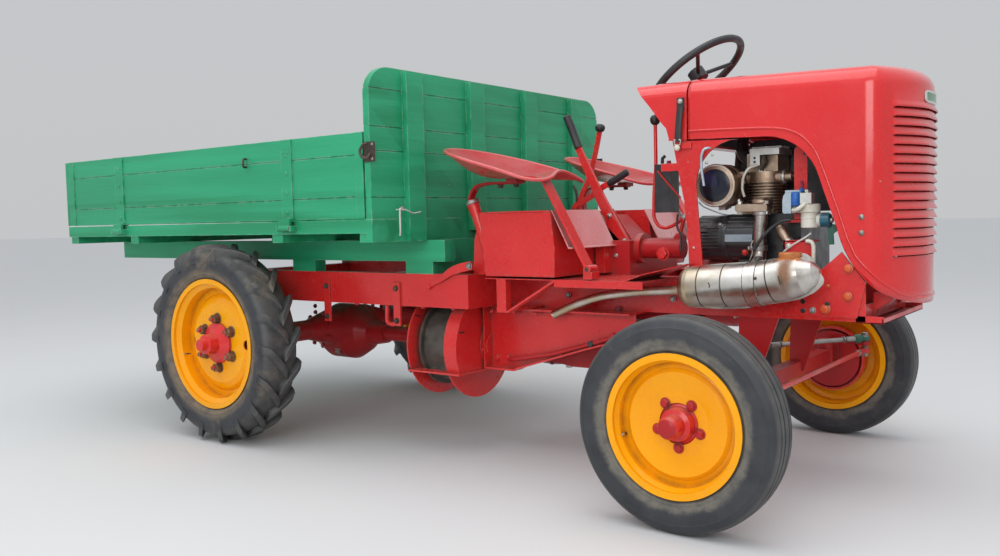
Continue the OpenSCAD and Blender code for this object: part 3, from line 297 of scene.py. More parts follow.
PALE_TRIM = plain_coat("pale trim", (0.62, 0.62, 0.58), (0.48, 0.49, 0.45), rough=0.28, scale=30.0, coat=0.3)
BADGE_GREEN = plain_coat("green enamel", (0.02, 0.16, 0.07), (0.03, 0.2, 0.1), rough=0.2,
    scale=30.0, coat=0.6)
WHITE_PLASTIC = plain_coat("milky plastic", (0.7, 0.68, 0.6), (0.56, 0.52, 0.42), rough=0.3,
    scale=25.0, coat=0.2)
BLUE_HOSE = plain_coat("blue hose", (0.015, 0.10, 0.40), (0.03, 0.15, 0.48), rough=0.35, scale=25.0)
BOOT = plain_coat("green rubber boot", (0.03, 0.13, 0.09), (0.05, 0.17, 0.12), rough=0.5, scale=30.0)
# Painted shade: a dark purplish red standing for red paint in shadow, used on the gearbox side plate, belly
# and a few small pieces.
SHADED_PURPLE_RED = paint("purple red paint darkened as painted shade", (0.2, 0.01, 0.04), (0.27, 0.02, 0.055), (0.12, 0.05, 0.05),
    rough=0.36, coat=0.3, dust=0.25, wear=0.2)
BOLT_ORANGE = paint("orange red bolts", (0.62, 0.075, 0.015), (0.7, 0.12, 0.03), (0.4, 0.2, 0.1),
    rough=0.3, coat=0.4)
SEAT_RED = paint("faded seat paint", (0.56, 0.05, 0.055), (0.66, 0.1, 0.1), (0.6, 0.3, 0.28), rough=0.3,
    coat=0.5, dust=0.22, wear=0.4)
BLUE_GREY = metal("blue grey cover", [(0.3, (0.2, 0.24, 0.29)), (0.6, (0.34, 0.38, 0.43)),
    (0.85, (0.28, 0.25, 0.22))], rough=(0.3, 0.5), metallic=0.7)

carried = {
    RED: ("front_rails rear_rails platform seat_base levers dash_posts winch_frame winch_bracket "
          "rear_hub_right rear_hub_left front_hub_right front_hub_left tie_rod seat_posts "
          "steering_gear"),
    SEAT_RED: "seat_right seat_left",
    SHADED_RED: "rear_axle front_axle gearbox knuckle_right knuckle_left drop_arm",
    HOOD_RED: "hood cowl",
    ORANGE: "rear_rim_right rear_rim_left front_rim_right front_rim_left",
    WOOD_X: "bed_frame bed_floor side_right side_left",
    WOOD_Y: "headboard tailgate",
    REAR_RUBBER: "rear_tyre_right rear_tyre_left",
    FRONT_RUBBER: "front_tyre_right front_tyre_left",
    BRONZE: "cylinder air_filter fuel_system",
    GREY_STEEL: "drag_link winch_drum",
    BLACK: "engine_block generator",
    GRIP: "steering_wheel",
}
for material, names in carried.items():
    for name in names.split():
        nodes[name].data.materials[0] = material


# Meshes, drawn in millimetres
AHEAD, LEFT, RIGHT, UP, DOWN = (1, 0, 0), (0, 1, 0), (0, -1, 0), (0, 0, 1), (0, 0, -1)
SIDES = ((-1, "right"), (1, "left"))
REAR_X, REAR_Y, REAR_Z = -725.0, 721.0, 413.0
FRONT_X, FRONT_Y, FRONT_Z = 1365.0, 719.0, 311.0


def frame_at(place, axis=UP, turn=0.0):
    """A place whose Z looks along the axis."""
    way = Vector(axis).normalized().to_track_quat("Z", "Y").to_matrix().to_4x4()
    return Matrix.Translation(place) @ way @ Matrix.Rotation(radians(turn), 4, "Z")


def smooth(value, low, high):
    share = min(1.0, max(0.0, (value - low) / (high - low)))
    return share * share * (3.0 - 2.0 * share)


def softened(path, bend, steps=5):
    """A path whose inner corners are rounded."""
    points = [Vector(p) for p in path]
    out = [points[0]]
    for before, here, after in zip(points, points[1:], points[2:]):
        reach = min(bend, (here - before).length * 0.45, (after - here).length * 0.45)
        start = here + (before - here).normalized() * reach
        end = here + (after - here).normalized() * reach
        for i in range(steps + 1):
            t = i / steps
            out.append(start * (1 - t) ** 2 + here * (2 * t * (1 - t)) + end * t ** 2)
    return out + [points[-1]]


def upright(y, *places):
    """Points of an upright plane along the machine, given by X and Z."""
    return [(x, y, z) for x, z in places]


def soft_outline(outline, bend, steps):
    """An outline in X and Z whose corners are rounded."""
    return [(p.x, p.z) for p in softened(upright(0, *outline), bend, steps)]


def around(count, radius, step, first=0.0):
    """Places on a circle, each with its number; the angles are in degrees."""
    for k in range(count):
        a = radians(first + step * k)
        yield k, radius * cos(a), radius * sin(a)


class Form:
    """Faces gathered into one mesh; coat is the number of a material in the list given to done."""

    def __init__(self):
        self.points = []
        self.faces = []
        self.coats = []

    def put(self, points, faces, coat=0, at=None):
        first = len(self.points)
        self.points += [tuple(at @ Vector(p)) if at else tuple(p) for p in points]
        for face in faces:
            self.faces.append([first + i for i in face])
            self.coats.append(coat)

    def rings(self, rings, coat=0, at=None, caps=(True, True)):
        """Skin over closed rings of points that all have the same count."""
        count = len(rings[0])
        points = [p for ring in rings for p in ring]
        faces = []
        for i in range(len(rings) - 1):
            for j in range(count):
                k = (j + 1) % count
                faces.append((i * count + j, i * count + k, (i + 1) * count + k, (i + 1) * count + j))
        if caps[0]:
            faces.append(list(range(count - 1, -1, -1)))
        if caps[1]:
            faces.append([(len(rings) - 1) * count + j for j in range(count)])
        self.put(points, faces, coat, at)

    def lathe(self, profile, at, steps=32, coat=0):
        """Turn a profile of radius and height about the Z axis of the place."""
        angles = [tau * i / steps for i in range(steps)]
        self.rings([[(max(r, 0.4) * cos(a), max(r, 0.4) * sin(a), h) for a in angles]
            for r, h in profile], coat, at)

    def block(self, one, other, coat=0):
        """A box between two opposite corners, given in any order."""
        (x0, x1), (y0, y1), (z0, z1) = (sorted(pair) for pair in zip(one, other))
        self.rings([[(x0, y0, z), (x1, y0, z), (x1, y1, z), (x0, y1, z)] for z in (z0, z1)], coat)

    def sheet_y(self, outline, one, other, coat=0):
        """An outline in X and Z, as thick as the span along Y."""
        self.rings([[(x, y, z) for x, z in outline] for y in (max(one, other), min(one, other))], coat)

    def tube(self, path, radius, steps=10, coat=0, flat=1.0, up=UP, square=False):
        """A round, flattened or square bar along a path; radius is a number or one for each point."""
        points = [Vector(p) for p in path]
        radii = radius if isinstance(radius, (list, tuple)) else [radius] * len(points)
        side = None
        rings = []
        for i, p in enumerate(points):
            way = (points[min(i + 1, len(points) - 1)] - points[max(i - 1, 0)]).normalized()
            if side is None:
                side = way.cross(Vector(up))
                if side.length < 0.1:
                    side = way.cross(Vector((0.3, 1, 0.2)))
            side = (side - way * side.dot(way)).normalized()
            rise = way.cross(side)
            turns = [(cos(a), sin(a)) for a in (tau * k / steps for k in range(steps))]
            if square:
                turns = [(1, 1), (-1, 1), (-1, -1), (1, -1)]
            rings.append([tuple(p + side * (radii[i] * c) + rise * (radii[i] * flat * s)) for c, s in turns])
        self.rings(rings, coat)

    def hexagon(self, place, axis, across, height, coat=0, turn=0.0, dome=0.12):
        """A bolt head or nut on its washer."""
        at = frame_at(place, axis, turn)
        r = across / 1.732
        base, washer = across * 0.09, r * 1.25
        self.lathe([(washer, -0.5), (washer, base * 0.8), (washer - 0.8, base)], at, 20, coat)
        profile = [(r, base), (r, base + height * (1 - dome)), (r * 0.86, base + height),
            (r * 0.5, base + height * (1 + dome * 0.4))]
        self.rings([[(q * cos(radians(60 * k)), q * sin(radians(60 * k)), h) for k in range(6)]
            for q, h in profile], coat, at)

    def spin(self, profile, place, axis, steps=32, coat=0):
        """Turn a profile of radius and height about an axis from a place."""
        at = frame_at(place, axis)
        self.lathe(profile, at, steps, coat)

    def bent(self, path, bend, bend_steps, *rest):
        """A tube along a path whose corners are rounded."""
        rounded = softened(path, bend, bend_steps)
        self.tube(rounded, *rest)

    def stud(self, place, axis, radius, length, coat=0):
        """A threaded end: fine rings and a chamfer."""
        profile = []
        h = 0.0
        while h < length - 2.0:
            profile += [(radius, h), (radius - 0.7, h + 0.9)]
            h += 1.8
        self.spin(profile + [(radius - 0.8, length - 0.8), (radius - 2.0, length)], place, axis, 16, coat)

    def plug(self, place, axis, radius, length, coat=0, steps=28, edge=1.2):
        """A short turned piece with eased ends; the place is the middle of its first end."""
        self.spin([(radius - edge, 0), (radius, edge), (radius, length - edge), (radius - edge, length)],
            place, axis, steps, coat)

    def band(self, place, axis, radius, half, thick, coat=0, steps=48):
        """A strap round a drum, centred on the place."""
        low = radius - 1.5
        self.spin([(low, -half), (radius + thick * 0.6, -half), (radius + thick, -half + 1),
            (radius + thick, half - 1), (radius + thick * 0.6, half), (low, half)], place, axis, steps, coat)

    def dome(self, place, axis, radius, height, coat=0, steps=20):
        self.spin([(radius, -1), (radius, height * 0.25), (radius * 0.86, height * 0.62),
            (radius * 0.55, height * 0.92), (radius * 0.2, height)], place, axis, steps, coat)

    def done(self, name, slot, coats, body="chassis", angle=35.0, bevel=0.0, replaces=()):
        """Make the piece; edges sharper than the angle stay sharp or get the bevel, in millimetres."""
        mesh = bpy.data.meshes.new(name)
        mesh.from_pydata([tuple(c * 0.001 for c in p) for p in self.points], [], self.faces)
        coats = coats if isinstance(coats, (list, tuple)) else [coats]
        for coat in coats:
            mesh.materials.append(coat)
        mesh.polygons.foreach_set("material_index", self.coats)
        mesh.polygons.foreach_set("use_smooth", [True] * len(mesh.polygons))
        mesh.set_sharp_from_angle(angle=radians(angle))
        mesh.validate()
        piece = bpy.data.objects.new(name, mesh)
        bpy.context.scene.collection.objects.link(piece)
        if bevel:
            cut = piece.modifiers.new("rounding", "BEVEL")
            cut.width = bevel * 0.001
            cut.segments = 2
            cut.limit_method = "ANGLE"
            cut.angle_limit = radians(40)
            cut.harden_normals = True
        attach(piece, body)
        if replaces:
            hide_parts(*replaces)
        return piece


def thicken(piece, metres, inner):
    """Give a sheet its thickness; inner is how much further down the list the inner side's material is."""
    shell = piece.modifiers.new("thickness", "SOLIDIFY")
    shell.thickness = metres
    shell.offset = -1.0
    shell.material_offset = inner


def recoat(node, material, test):
    """Give the faces of a node whose middle, in millimetres, passes the test a second material."""
    mesh = nodes[node].data
    mesh.materials.append(material)
    last = len(mesh.materials) - 1
    for face in mesh.polygons:
        if test(*(face.center * 1000.0)):
            face.material_index = last


# Hood: one pressed sheet with its louvres, a bead round the arch and a bare badge
CORNER_X, CORNER_Y, NOSE_CX, NOSE_R, EDGE_R = 1746.37, 205.0, 1459.0, 413.0, 60.0
HOOD_BACK, HOOD_HALF = 1185.0, 265.0
# Angle at which the arc of the corner passes into that of the nose, in degrees from straight ahead
NOSE_TURN = 35.5
HOOD_TOP, SLOPE = 1332.0, tan(radians(1.9))


def hood_low(x):
    """Height of the hood's lower edge."""
    seam = 1150.0 - (x - HOOD_BACK) * SLOPE
    if x <= 1436:
        return seam
    if x <= 1611.9:
        return 958.67 + sqrt(max(0.0, 183.0 ** 2 - (x - 1436.0) ** 2))
    if x <= 1665.1:
        return 1009.1 + (853.2 - 1009.1) * (x - 1611.9) / (1665.1 - 1611.9)
    if x <= 1877.8:
        return 921.0 - sqrt(max(0.0, 326.0 ** 2 - (x - 1984.0) ** 2))
    return 611.0


def hood_y(x):
    """Half width of the hood at a place along X."""
    if x <= CORNER_X:
        return HOOD_HALF
    if x <= CORNER_X + EDGE_R * cos(radians(NOSE_TURN)):
        return CORNER_Y + sqrt(EDGE_R ** 2 - (x - CORNER_X) ** 2)
    return sqrt(max(0.0, NOSE_R ** 2 - (x - NOSE_CX) ** 2))


# Louvres: their number, the top one's height, their pitch and how far round the nose they reach, in degrees
LOUVRES, LOUVRE_Z, PITCH, LOUVRE_A = 17, 1203.0, 27.4, 32.0


def hood_sheet():
    """Columns of points from the lower edge up the side and over the top, on both sides; slots stay open."""
    stations = []
    x = HOOD_BACK
    while x < CORNER_X - 1:
        stations.append((x, HOOD_HALF, 0.0, 1.0, x, CORNER_Y, 99.0))
        x += 11.0 if x < 1560 or x > 1670 else 5.0
    for i in range(9):
        a = radians(90 - (90 - NOSE_TURN) * i / 8)
        stations.append((CORNER_X + EDGE_R * cos(a), CORNER_Y + EDGE_R * sin(a), cos(a), sin(a), CORNER_X,
            CORNER_Y, 90.0))
    for deg in [33.8, 32.0, 31.4, 30.6, 29.0] + [26.5 - 2.65 * i for i in range(11)]:
        a = radians(max(0.0, deg))
        stations.append((NOSE_CX + NOSE_R * cos(a), NOSE_R * sin(a), cos(a), sin(a),
            NOSE_CX + (NOSE_R - EDGE_R) * cos(a), (NOSE_R - EDGE_R) * sin(a), deg))
    rows = []
    for i in range(LOUVRES - 1, -1, -1):
        z = LOUVRE_Z - PITCH * i
        rows += [(z, 0.0, 0.0), (z, 8.0, 3.0), (z + 6, 7.4, 1.6), (z + 15, 3.6, 0.0), (z + 23.6, 0.0, 0.0)]
    columns = []
    for px, py, nx, ny, mx, my, deg in stations:
        low = hood_low(px)
        top = HOOD_TOP + max(0.0, CORNER_X - mx) * SLOPE
        open_share = smooth(LOUVRE_A - deg, 0.0, 1.5) if deg < 90 else 0.0
        bulge = min(9.0, 417.4 / max(0.5, nx) - NOSE_R) / 8.0
        column = []
        first = rows[0][0] - 3.0
        for k in range(5):
            z = max(low, low + (first - low) * k / 4)
            column.append((px, py, z))
        for z, out, lift in rows:
            z = max(low, z + lift * open_share)
            column.append((px + nx * out * bulge * open_share, py + ny * out * bulge * open_share, z))
        column.append((px, py, top - EDGE_R))
        for k in range(1, 9):
            a = pi / 2 * k / 8
            z = top - EDGE_R + EDGE_R * sin(a)
            column.append((mx + nx * EDGE_R * cos(a), my + ny * EDGE_R * cos(a), z))
        for k in range(1, 5):
            column.append((mx, my * (1 - k / 4), top))
        columns.append((column, open_share))
    form = Form()
    for side in (1, -1):
        height = len(columns[0][0])
        points = [(x, side * y, z) for column, _ in columns for x, y, z in column]
        faces = []
        for c in range(len(columns) - 1):
            one, next_one = columns[c][1], columns[c + 1][1]
            both = one > 0.001 and next_one > 0.001 or one + next_one > 0.5
            for k in range(height - 1):
                slot = 5 <= k < 5 + 5 * LOUVRES and (k - 5) % 5 == 0
                if slot and both:
                    continue
                face = [c * height + k, c * height + k + 1, (c + 1) * height + k + 1, (c + 1) * height + k]
                kept = []
                for i in face:
                    if all((Vector(points[i]) - Vector(points[j])).length > 0.05 for j in kept):
                        kept.append(i)
                if len(kept) > 2:
                    faces.append(kept if side > 0 else kept[::-1])
        form.put(points, faces)
    return form


def merge_points(piece, distance=0.00004):
    """Join points that lie on each other."""
    work = bmesh.new()
    work.from_mesh(piece.data)
    bmesh.ops.remove_doubles(work, verts=work.verts, dist=distance)
    work.to_mesh(piece.data)
    work.free()
    piece.data.set_sharp_from_angle(angle=radians(32))


hood = hood_sheet()
for side in (-1, 1):
    for z in (837, 884):
        hood.spin([(8.5, -1), (8.5, 1.2), (7.2, 3.0), (4.5, 4.4), (1.5, 4.9)], (1737, side * 264.8, z),
            (0, side, 0), 20, 1)
for y in (146, -146):
    hood.tube(upright(y, (1838, 694), (1832, 670), (1812, 648)), 6, 8)
    hood.spin([(7.3, -6), (13, -6), (13, 6), (7.3, 6)], (1792, y, 640), LEFT, 20)
    hood.tube([(1812, y, 648), (1800, y, 644)], 6, 8)
piece = hood.done("hood_sheet", "red_paint", [HOOD_RED, GREY_STEEL, SHADED_RED], body="bonnet",
    replaces=["hood"])
merge_points(piece)
# The inner side takes the darker red of painted shade.
thicken(piece, 0.0022, 2)

BEAD = [(1188, 1177), (1300, 1174), (1429, 1169), (1475, 1165), (1509, 1159), (1534, 1150), (1555, 1138),
    (1575, 1121), (1592, 1102), (1604, 1083), (1614, 1060), (1630, 1018), (1648, 968), (1672, 898),
    (1696, 823), (1720, 769), (1742, 742), (1763, 720), (1781, 700), (1799, 681), (1825, 655),
    (1845, 643), (1858, 638)]
nose = [(NOSE_CX + NOSE_R * cos(a), NOSE_R * sin(a), 634.0)
    for a in (radians(d) for d in (10, 7, 3.5, 0, -3.5, -7, -10))]
bead = Form()
rim_path = ([(x, hood_y(x), z) for x, z in BEAD] + nose + [(x, -hood_y(x), z) for x, z in reversed(BEAD)])
bead.tube(rim_path, 4.4, 8)
bead.done("hood_bead", "red_paint", HOOD_RED, body="bonnet", angle=60)

badge = Form()
rows = []
for k in range(13):
    a = radians(-10 + 20 * k / 12)
    inset = 8.0 * (1 - smooth(min(k, 12 - k), 0, 1.6))
    rows.append([(NOSE_CX + (NOSE_R + d) * cos(a), (NOSE_R + d) * sin(a), z)
        for d, z in ((1.0, 1224 + inset), (4.2, 1225 + inset), (4.8, 1229 + inset * 0.8),
        (3.9, 1231 + inset * 0.8), (3.9, 1256 - inset * 0.8), (4.8, 1258 - inset * 0.8), (4.2, 1262 - inset),
        (1.0, 1263 - inset))])
badge.rings(rows)
for i in range(len(badge.faces) - 2):
    ring, j = divmod(i, 8)
    badge.coats[i] = 1 if j == 3 and 0 < ring < 11 else 0
badge.done("hood_badge", "red_paint", [PALE_TRIM, BADGE_GREEN], body="bonnet", angle=30)


# Tyres
def tyre_form(profile, wheel_x, wheel_y, wheel_z, steps=144):
    """A closed section of radius and place along Y, turned about the axle."""
    form = Form()
    rings = []
    for i in range(steps):
        a = tau * i / steps
        rings.append([(wheel_x + r * sin(a), wheel_y + y, wheel_z + r * cos(a)) for r, y in profile])
    rings.append(rings[0])
    form.rings(rings, caps=(False, False))
    return form


def mirrored(half):
    return half + [(r, -y) for r, y in reversed(half) if abs(y) > 1e-6]


REAR_HALF = [(255.5, -57.5), (262, -61), (272, -62.5), (277, -69), (281, -73.5), (287, -75.5), (290, -78.2),
    (294, -78.6), (297, -77.4), (303, -80), (315, -83), (332, -84.8), (345, -85), (357, -83.5), (368, -79),
    (377, -71), (383, -60), (387, -45), (390, -22), (391, 0)]
FRONT_HALF = [(193.5, -42.5), (203, -45.5), (210, -46.5), (213, -50), (216, -53.6), (219, -56.4),
    (222, -57.0), (224, -56.2), (226, -56.6), (232, -58.8), (243, -60.4), (256, -61), (268, -60.2),
    (276, -58.6), (279, -58.9), (281, -57.4), (290, -54.6), (297, -51.2), (303, -47), (307, -42.6),
    (308.6, -40.6), (308.2, -39.9), (301, -39.2), (301, -34.6), (308.8, -33.8), (309.8, -33.0),
    (310.5, -19.5), (309.9, -18.6), (302, -17.8), (302, -12.8), (310.2, -12.0), (310.9, -11.2), (311, 0)]
LUG_WAY = [(86.4, -0.9, 64, 2.0), (85.4, 0.0, 30, 2.1), (80, 0.8, 12, 2.15), (70, 2.1, 5, 2.2),
    (56, 4.2, 2, 2.25), (42, 6.4, 0.8, 2.3), (28, 8.6, 0.2, 2.4), (14, 11.0, 0, 2.45), (2, 13.2, 0.4, 2.5),
    (-6, 14.7, 2, 2.55), (-10, 15.5, 6, 2.5)]


def lug(form, side, at_deg, tyre_y):
    """One slanting lug on one half of the tread."""
    rings = []
    for y, ahead, drop, half in LUG_WAY:
        top = REAR_Z - drop
        foot = min(top - 4.0, 386.0 - smooth(abs(y), 40, 86) * 48.0)
        ring = []
        for share, height in ((-1.42, 0.0), (-1.12, 0.62), (-0.98, 0.9), (-0.8, 1.0), (0.8, 1.0),
                (0.98, 0.9), (1.12, 0.62), (1.42, 0.0)):
            a = radians(at_deg + ahead + share * half * (1.0 if drop < 30 else 0.9))
            r = foot + (top - foot) * height
            out = side * (y + (2.0 if drop > 20 and height < 0.5 else 0.0))
            ring.append((REAR_X + r * sin(a), out + tyre_y, REAR_Z + r * cos(a)))
        rings.append(ring if side > 0 else ring[::-1])
    form.rings(rings)


for side, name in SIDES:
    form = tyre_form(mirrored(REAR_HALF), REAR_X, side * REAR_Y, REAR_Z)
    for i in range(18):
        lug(form, 1, i * 20.0, side * REAR_Y)
        lug(form, -1, i * 20.0 + 10.0, side * REAR_Y)
    form.done(f"rear_tyre_{name}_lugs", "rubber", REAR_RUBBER, body=f"rear_wheel_{name}", angle=34,
        replaces=[f"rear_tyre_{name}"])
    form = tyre_form(mirrored(FRONT_HALF), FRONT_X, side * FRONT_Y, FRONT_Z)
    form.done(f"front_tyre_{name}_ribs", "rubber", FRONT_RUBBER, body=f"front_wheel_{name}", angle=40,
        replaces=[f"front_tyre_{name}"])

# Wheel nuts, bolts and valves
for side, name in SIDES:
    out = (0, side, 0)
    form = Form()
    for k, x, z in around(6, 102.5, 60, 30):
        form.hexagon((REAR_X + x, side * (REAR_Y + 23), REAR_Z + z), out, 33, 24, turn=17 * k)
        form.stud((REAR_X + x, side * (REAR_Y + 48), REAR_Z + z), out, 9.3, 14.5)
    form.done(f"rear_nuts_{name}", "engine_iron", RUSTY, body=f"rear_wheel_{name}", bevel=0.8)
    form = Form()
    for k, x, z in around(5, 69, 72, 54):
        form.hexagon((FRONT_X + x, side * (FRONT_Y + 7), FRONT_Z + z), out, 23, 10, turn=23 * k, dome=0.4)
    form.spin([(34.2, 0), (34.2, 3), (31, 4.5)], (FRONT_X, side * (FRONT_Y + 34), FRONT_Z), out, 40)
    hub_end = frame_at((FRONT_X, side * (FRONT_Y + 83.8), FRONT_Z), out)
    form.lathe([(27, 0), (27, 1.5), (22, 4.2), (8, 5.6), (0, 5.8)], hub_end, 36)
    form.done(f"front_bolts_{name}", "dark_red_paint", SHADED_RED, body=f"front_wheel_{name}", bevel=0.6)
    for kind, x0, z0, wheel_y, r, deep in (("rear", REAR_X, REAR_Z, REAR_Y, 236, 30),
            ("front", FRONT_X, FRONT_Z, FRONT_Y, 178, 22)):
        a = radians(196)
        foot = (x0 + r * cos(a), side * (wheel_y + 2), z0 + r * sin(a))
        tip = (foot[0] + 3, side * (wheel_y + deep), foot[2] + 3)
        valve = Form()
        valve.tube([foot, ((foot[0] + tip[0]) / 2, (foot[1] + tip[1]) / 2, (foot[2] + tip[2]) / 2), tip],
            [5, 4, 3.6], 10)
        valve.spin([(4.6, 0), (4.6, 9), (3.6, 11), (0, 11.4)], tip, out, 12, 1)
        valve.done(f"{kind}_valve_{name}", "black_metal", [BLACK, BOLT_STEEL], body=f"{kind}_wheel_{name}")


# Looks of the small pieces of the body
# The purple and blue stops of this ramp are painted reflection on the dark cover.
FILTER_FACE = metal("filter cover", [(0.3, (0.012, 0.014, 0.018)), (0.5, (0.024, 0.027, 0.045)),
    (0.66, (0.05, 0.05, 0.16)), (0.85, (0.03, 0.03, 0.07))], rough=(0.1, 0.26), metallic=0.4,
    scale=5.0, depth=0.0003)
ALUMINIUM = metal("cast aluminium", [(0.3, (0.42, 0.42, 0.4)), (0.6, (0.66, 0.66, 0.63)),
    (0.85, (0.36, 0.33, 0.28))], rough=(0.38, 0.6), scale=14.0)
PIPE = metal("heated pipe", [(0.3, (0.26, 0.22, 0.19)), (0.55, (0.52, 0.49, 0.46)),
    (0.8, (0.34, 0.26, 0.2))], rough=(0.22, 0.38), scale=7.0, depth=0.0003)
DRUM = plain_coat("drum face", (0.050, 0.044, 0.037), (0.095, 0.085, 0.070), rough=0.5, scale=18.0)
PALE_BLUE = metal("pale blue grey plate", [(0.3, (0.3, 0.38, 0.46)), (0.6, (0.48, 0.56, 0.62)),
    (0.85, (0.36, 0.38, 0.38))], rough=(0.35, 0.55), metallic=0.35, scale=20.0)
TEAL = plain_coat("teal enamel", (0.010, 0.10, 0.15), (0.02, 0.15, 0.20), rough=0.3, scale=25.0, coat=0.4)
SMOKE = metal("dark pressed line", [(0.3, (0.06, 0.05, 0.04)), (0.6, (0.16, 0.13, 0.1)),
    (0.85, (0.1, 0.07, 0.05))], rough=(0.4, 0.6), scale=20.0)
RUST_CAP = metal("rusted cap", [(0.3, (0.42, 0.13, 0.035)), (0.5, (0.56, 0.2, 0.055)),
    (0.75, (0.24, 0.085, 0.035))], rough=(0.42, 0.65), metallic=0.25, scale=24.0, depth=0.0014)


def silencer_metal():
    """Bright steel sheet: straw tint at the cool end, smoky patches, a brown run below the cap, and grime and
    painted shade in its corners.
    """
    g = Graph("silencer sheet")
    tone = g.ramp(g.noise(6.0, 5, 0.6, distortion=0.5), [(0.28, (0.34, 0.3, 0.25)),
        (0.46, (0.55, 0.52, 0.47)), (0.62, (0.68, 0.66, 0.62)), (0.85, (0.4, 0.35, 0.29))])
    straw = g.span(g.part("X"), 1.38, 1.2) * g.span(g.noise(9, 4), 0.25, 0.6)
    tone = g.mix(straw * 0.75, tone, (0.46, 0.33, 0.17))
    inputs = {0: g.stretched((1.7, 0.8, 0.55)), 1: (2.640, -0.318, 0.398)}
    near = g.add("ShaderNodeVectorMath", inputs, "Value", operation="DISTANCE")
    edge = near + (g.noise(28, 4, 0.65) - 0.5) * 0.035
    stain = g.span(edge, 0.050, 0.012)
    tone = g.mix(stain * 0.9, tone, (0.22, 0.085, 0.03))
    # Grime and painted shade: the steel darkens in corners and under ledges.
    corner = g.hollows(0.03) * g.span(g.noise(22, 4), 0.25, 0.6)
    tone = g.mix(corner * 0.8, tone, (0.06, 0.045, 0.03))
    g.set(Base_Color=tone, Metallic=1.0 - stain * 0.7,
        Roughness=g.span(g.noise(12, 5, 0.6), 0.3, 0.75, (0.26, 0.44)) + stain * 0.3)
    g.bump(g.noise(30, 4, 0.6) + g.noise(320, 2) * 0.3, 0.0012, 0.5)
    return g.mat


SILENCER = silencer_metal()
nodes["muffler"].data.materials[0] = SILENCER
recoat("muffler", RUST_CAP, lambda x, y, z: z > 731 and 1518 < x < 1588 and -380 < y < -310)
recoat("muffler", RED, lambda x, y, z: 1329 < x < 1343 and y > -306 and z < 715)
recoat("muffler", PIPE, lambda x, y, z: 1380 < x < 1420 and y > -210)

# Silencer: joint flange, pressed lines, strap and cap
form = Form()
seam_line = [(1189, 652), (1197, 628), (1215, 611), (1240, 604), (1325, 602), (1413, 607), (1456, 617),
    (1529, 630), (1582, 641), (1628, 664), (1652, 690), (1654, 702), (1640, 728), (1612, 772), (1594, 781),
    (1560, 776), (1500, 763), (1446, 754), (1326, 746), (1250, 737), (1207, 716), (1190, 690)]
outline = soft_outline(seam_line + seam_line[:1], 12, 3)[:-1]
form.sheet_y(outline, -347.2, -342.8)
for x, half, coat in ((1275, 2.2, 1), (1355, 2.2, 1), (1500, 2.0, 1)):
    fall = tan(radians(4 if x < 1444 else 12))
    place = (x, -345, 684 - (1444 - x) * fall)
    way = (1, 0, fall)
    form.band(place, way, 66.9, half, 0.9 if x < 1444 else 0.4, coat, 64)
form.band((1446, -345, 684.4), (1, 0, 0.09), 67.6, 20, 2.4, 0, 64)
for x in (1427.5, 1464.5):
    form.band((x, -345, 683 + (x - 1440) * 0.1), (1, 0, 0.09), 67.8, 1.4, 3.0, 1, 64)
form.tube([(1541, -410.2, 716), (1544, -411.6, 706), (1547, -410.0, 690)], [4.5, 5.0, 4.0], 10, 1, 0.5, LEFT)
form.dome((1468, -409.5, 706), (0.05, -1, 0.3), 5, 2.5, 1)
form.tube([(1316, -410.5, 690), (1322, -411.5, 682), (1320, -411.5, 674)], 2.2, 8, 1)
form.done("silencer_seam", "exhaust_steel", [SILENCER, SMOKE], angle=30, bevel=1.0)
form = Form()
tail = softened([(1200, -345, 660), (1042, -345, 650), (887, -347, 628), (784, -349, 594),
    (699, -349, 556)], 60, 5)
form.tube(tail, 15.5, 24)
way = (tail[-1] - tail[-2]).normalized()
form.spin([(15.5, -0.5), (16.2, 0.6), (14.2, 0.9), (13.6, -2)], tail[-1], way, 28)
form.spin([(13.8, 0.2), (13.4, 0.7)], tail[-1], way, 28, 1)
form.done("tail_pipe_skin", "exhaust_steel", [SILENCER, SMOKE], angle=38)
form = Form()
form.spin([(34.2, 0), (37, 1), (37, 5), (33.5, 8), (33.6, 34), (34.6, 37), (34.6, 44), (32.5, 47.5),
    (28, 47.5), (27, 45.5), (9, 46.5)], (1553, -345, 735), UP, 48)
form.done("rain_cap", "exhaust_steel", RUST_CAP, angle=30)
form = Form()
path = softened([(1403, -187, 905), (1398, -187, 845), (1396, -188, 768), (1398, -204, 738),
    (1400, -285, 716)], 26, 5)
form.tube(path, 21.5, 24)
form.band((1396.5, -187.5, 789), UP, 21.5, 9, 3.6, 1, 32)
form.plug((1404, -187, 896), UP, 29, 11, 1, 32)
form.tube([(1372, -204, 790), (1384, -214, 789), (1396, -215, 789)], 5, 8, 1)
form.hexagon((1372, -208, 789), (-0.6, -0.8, 0), 12, 7, 2)
form.bent([(1386, -214, 815), (1378, -216, 800), (1384, -214, 778), (1372, -212, 748), (1362, -206, 742)],
    8, 5, 2.2, 8, 2)
form.done("exhaust_down_pipe", "exhaust_steel", [PIPE, GREY_STEEL, BOLT_STEEL], angle=38)

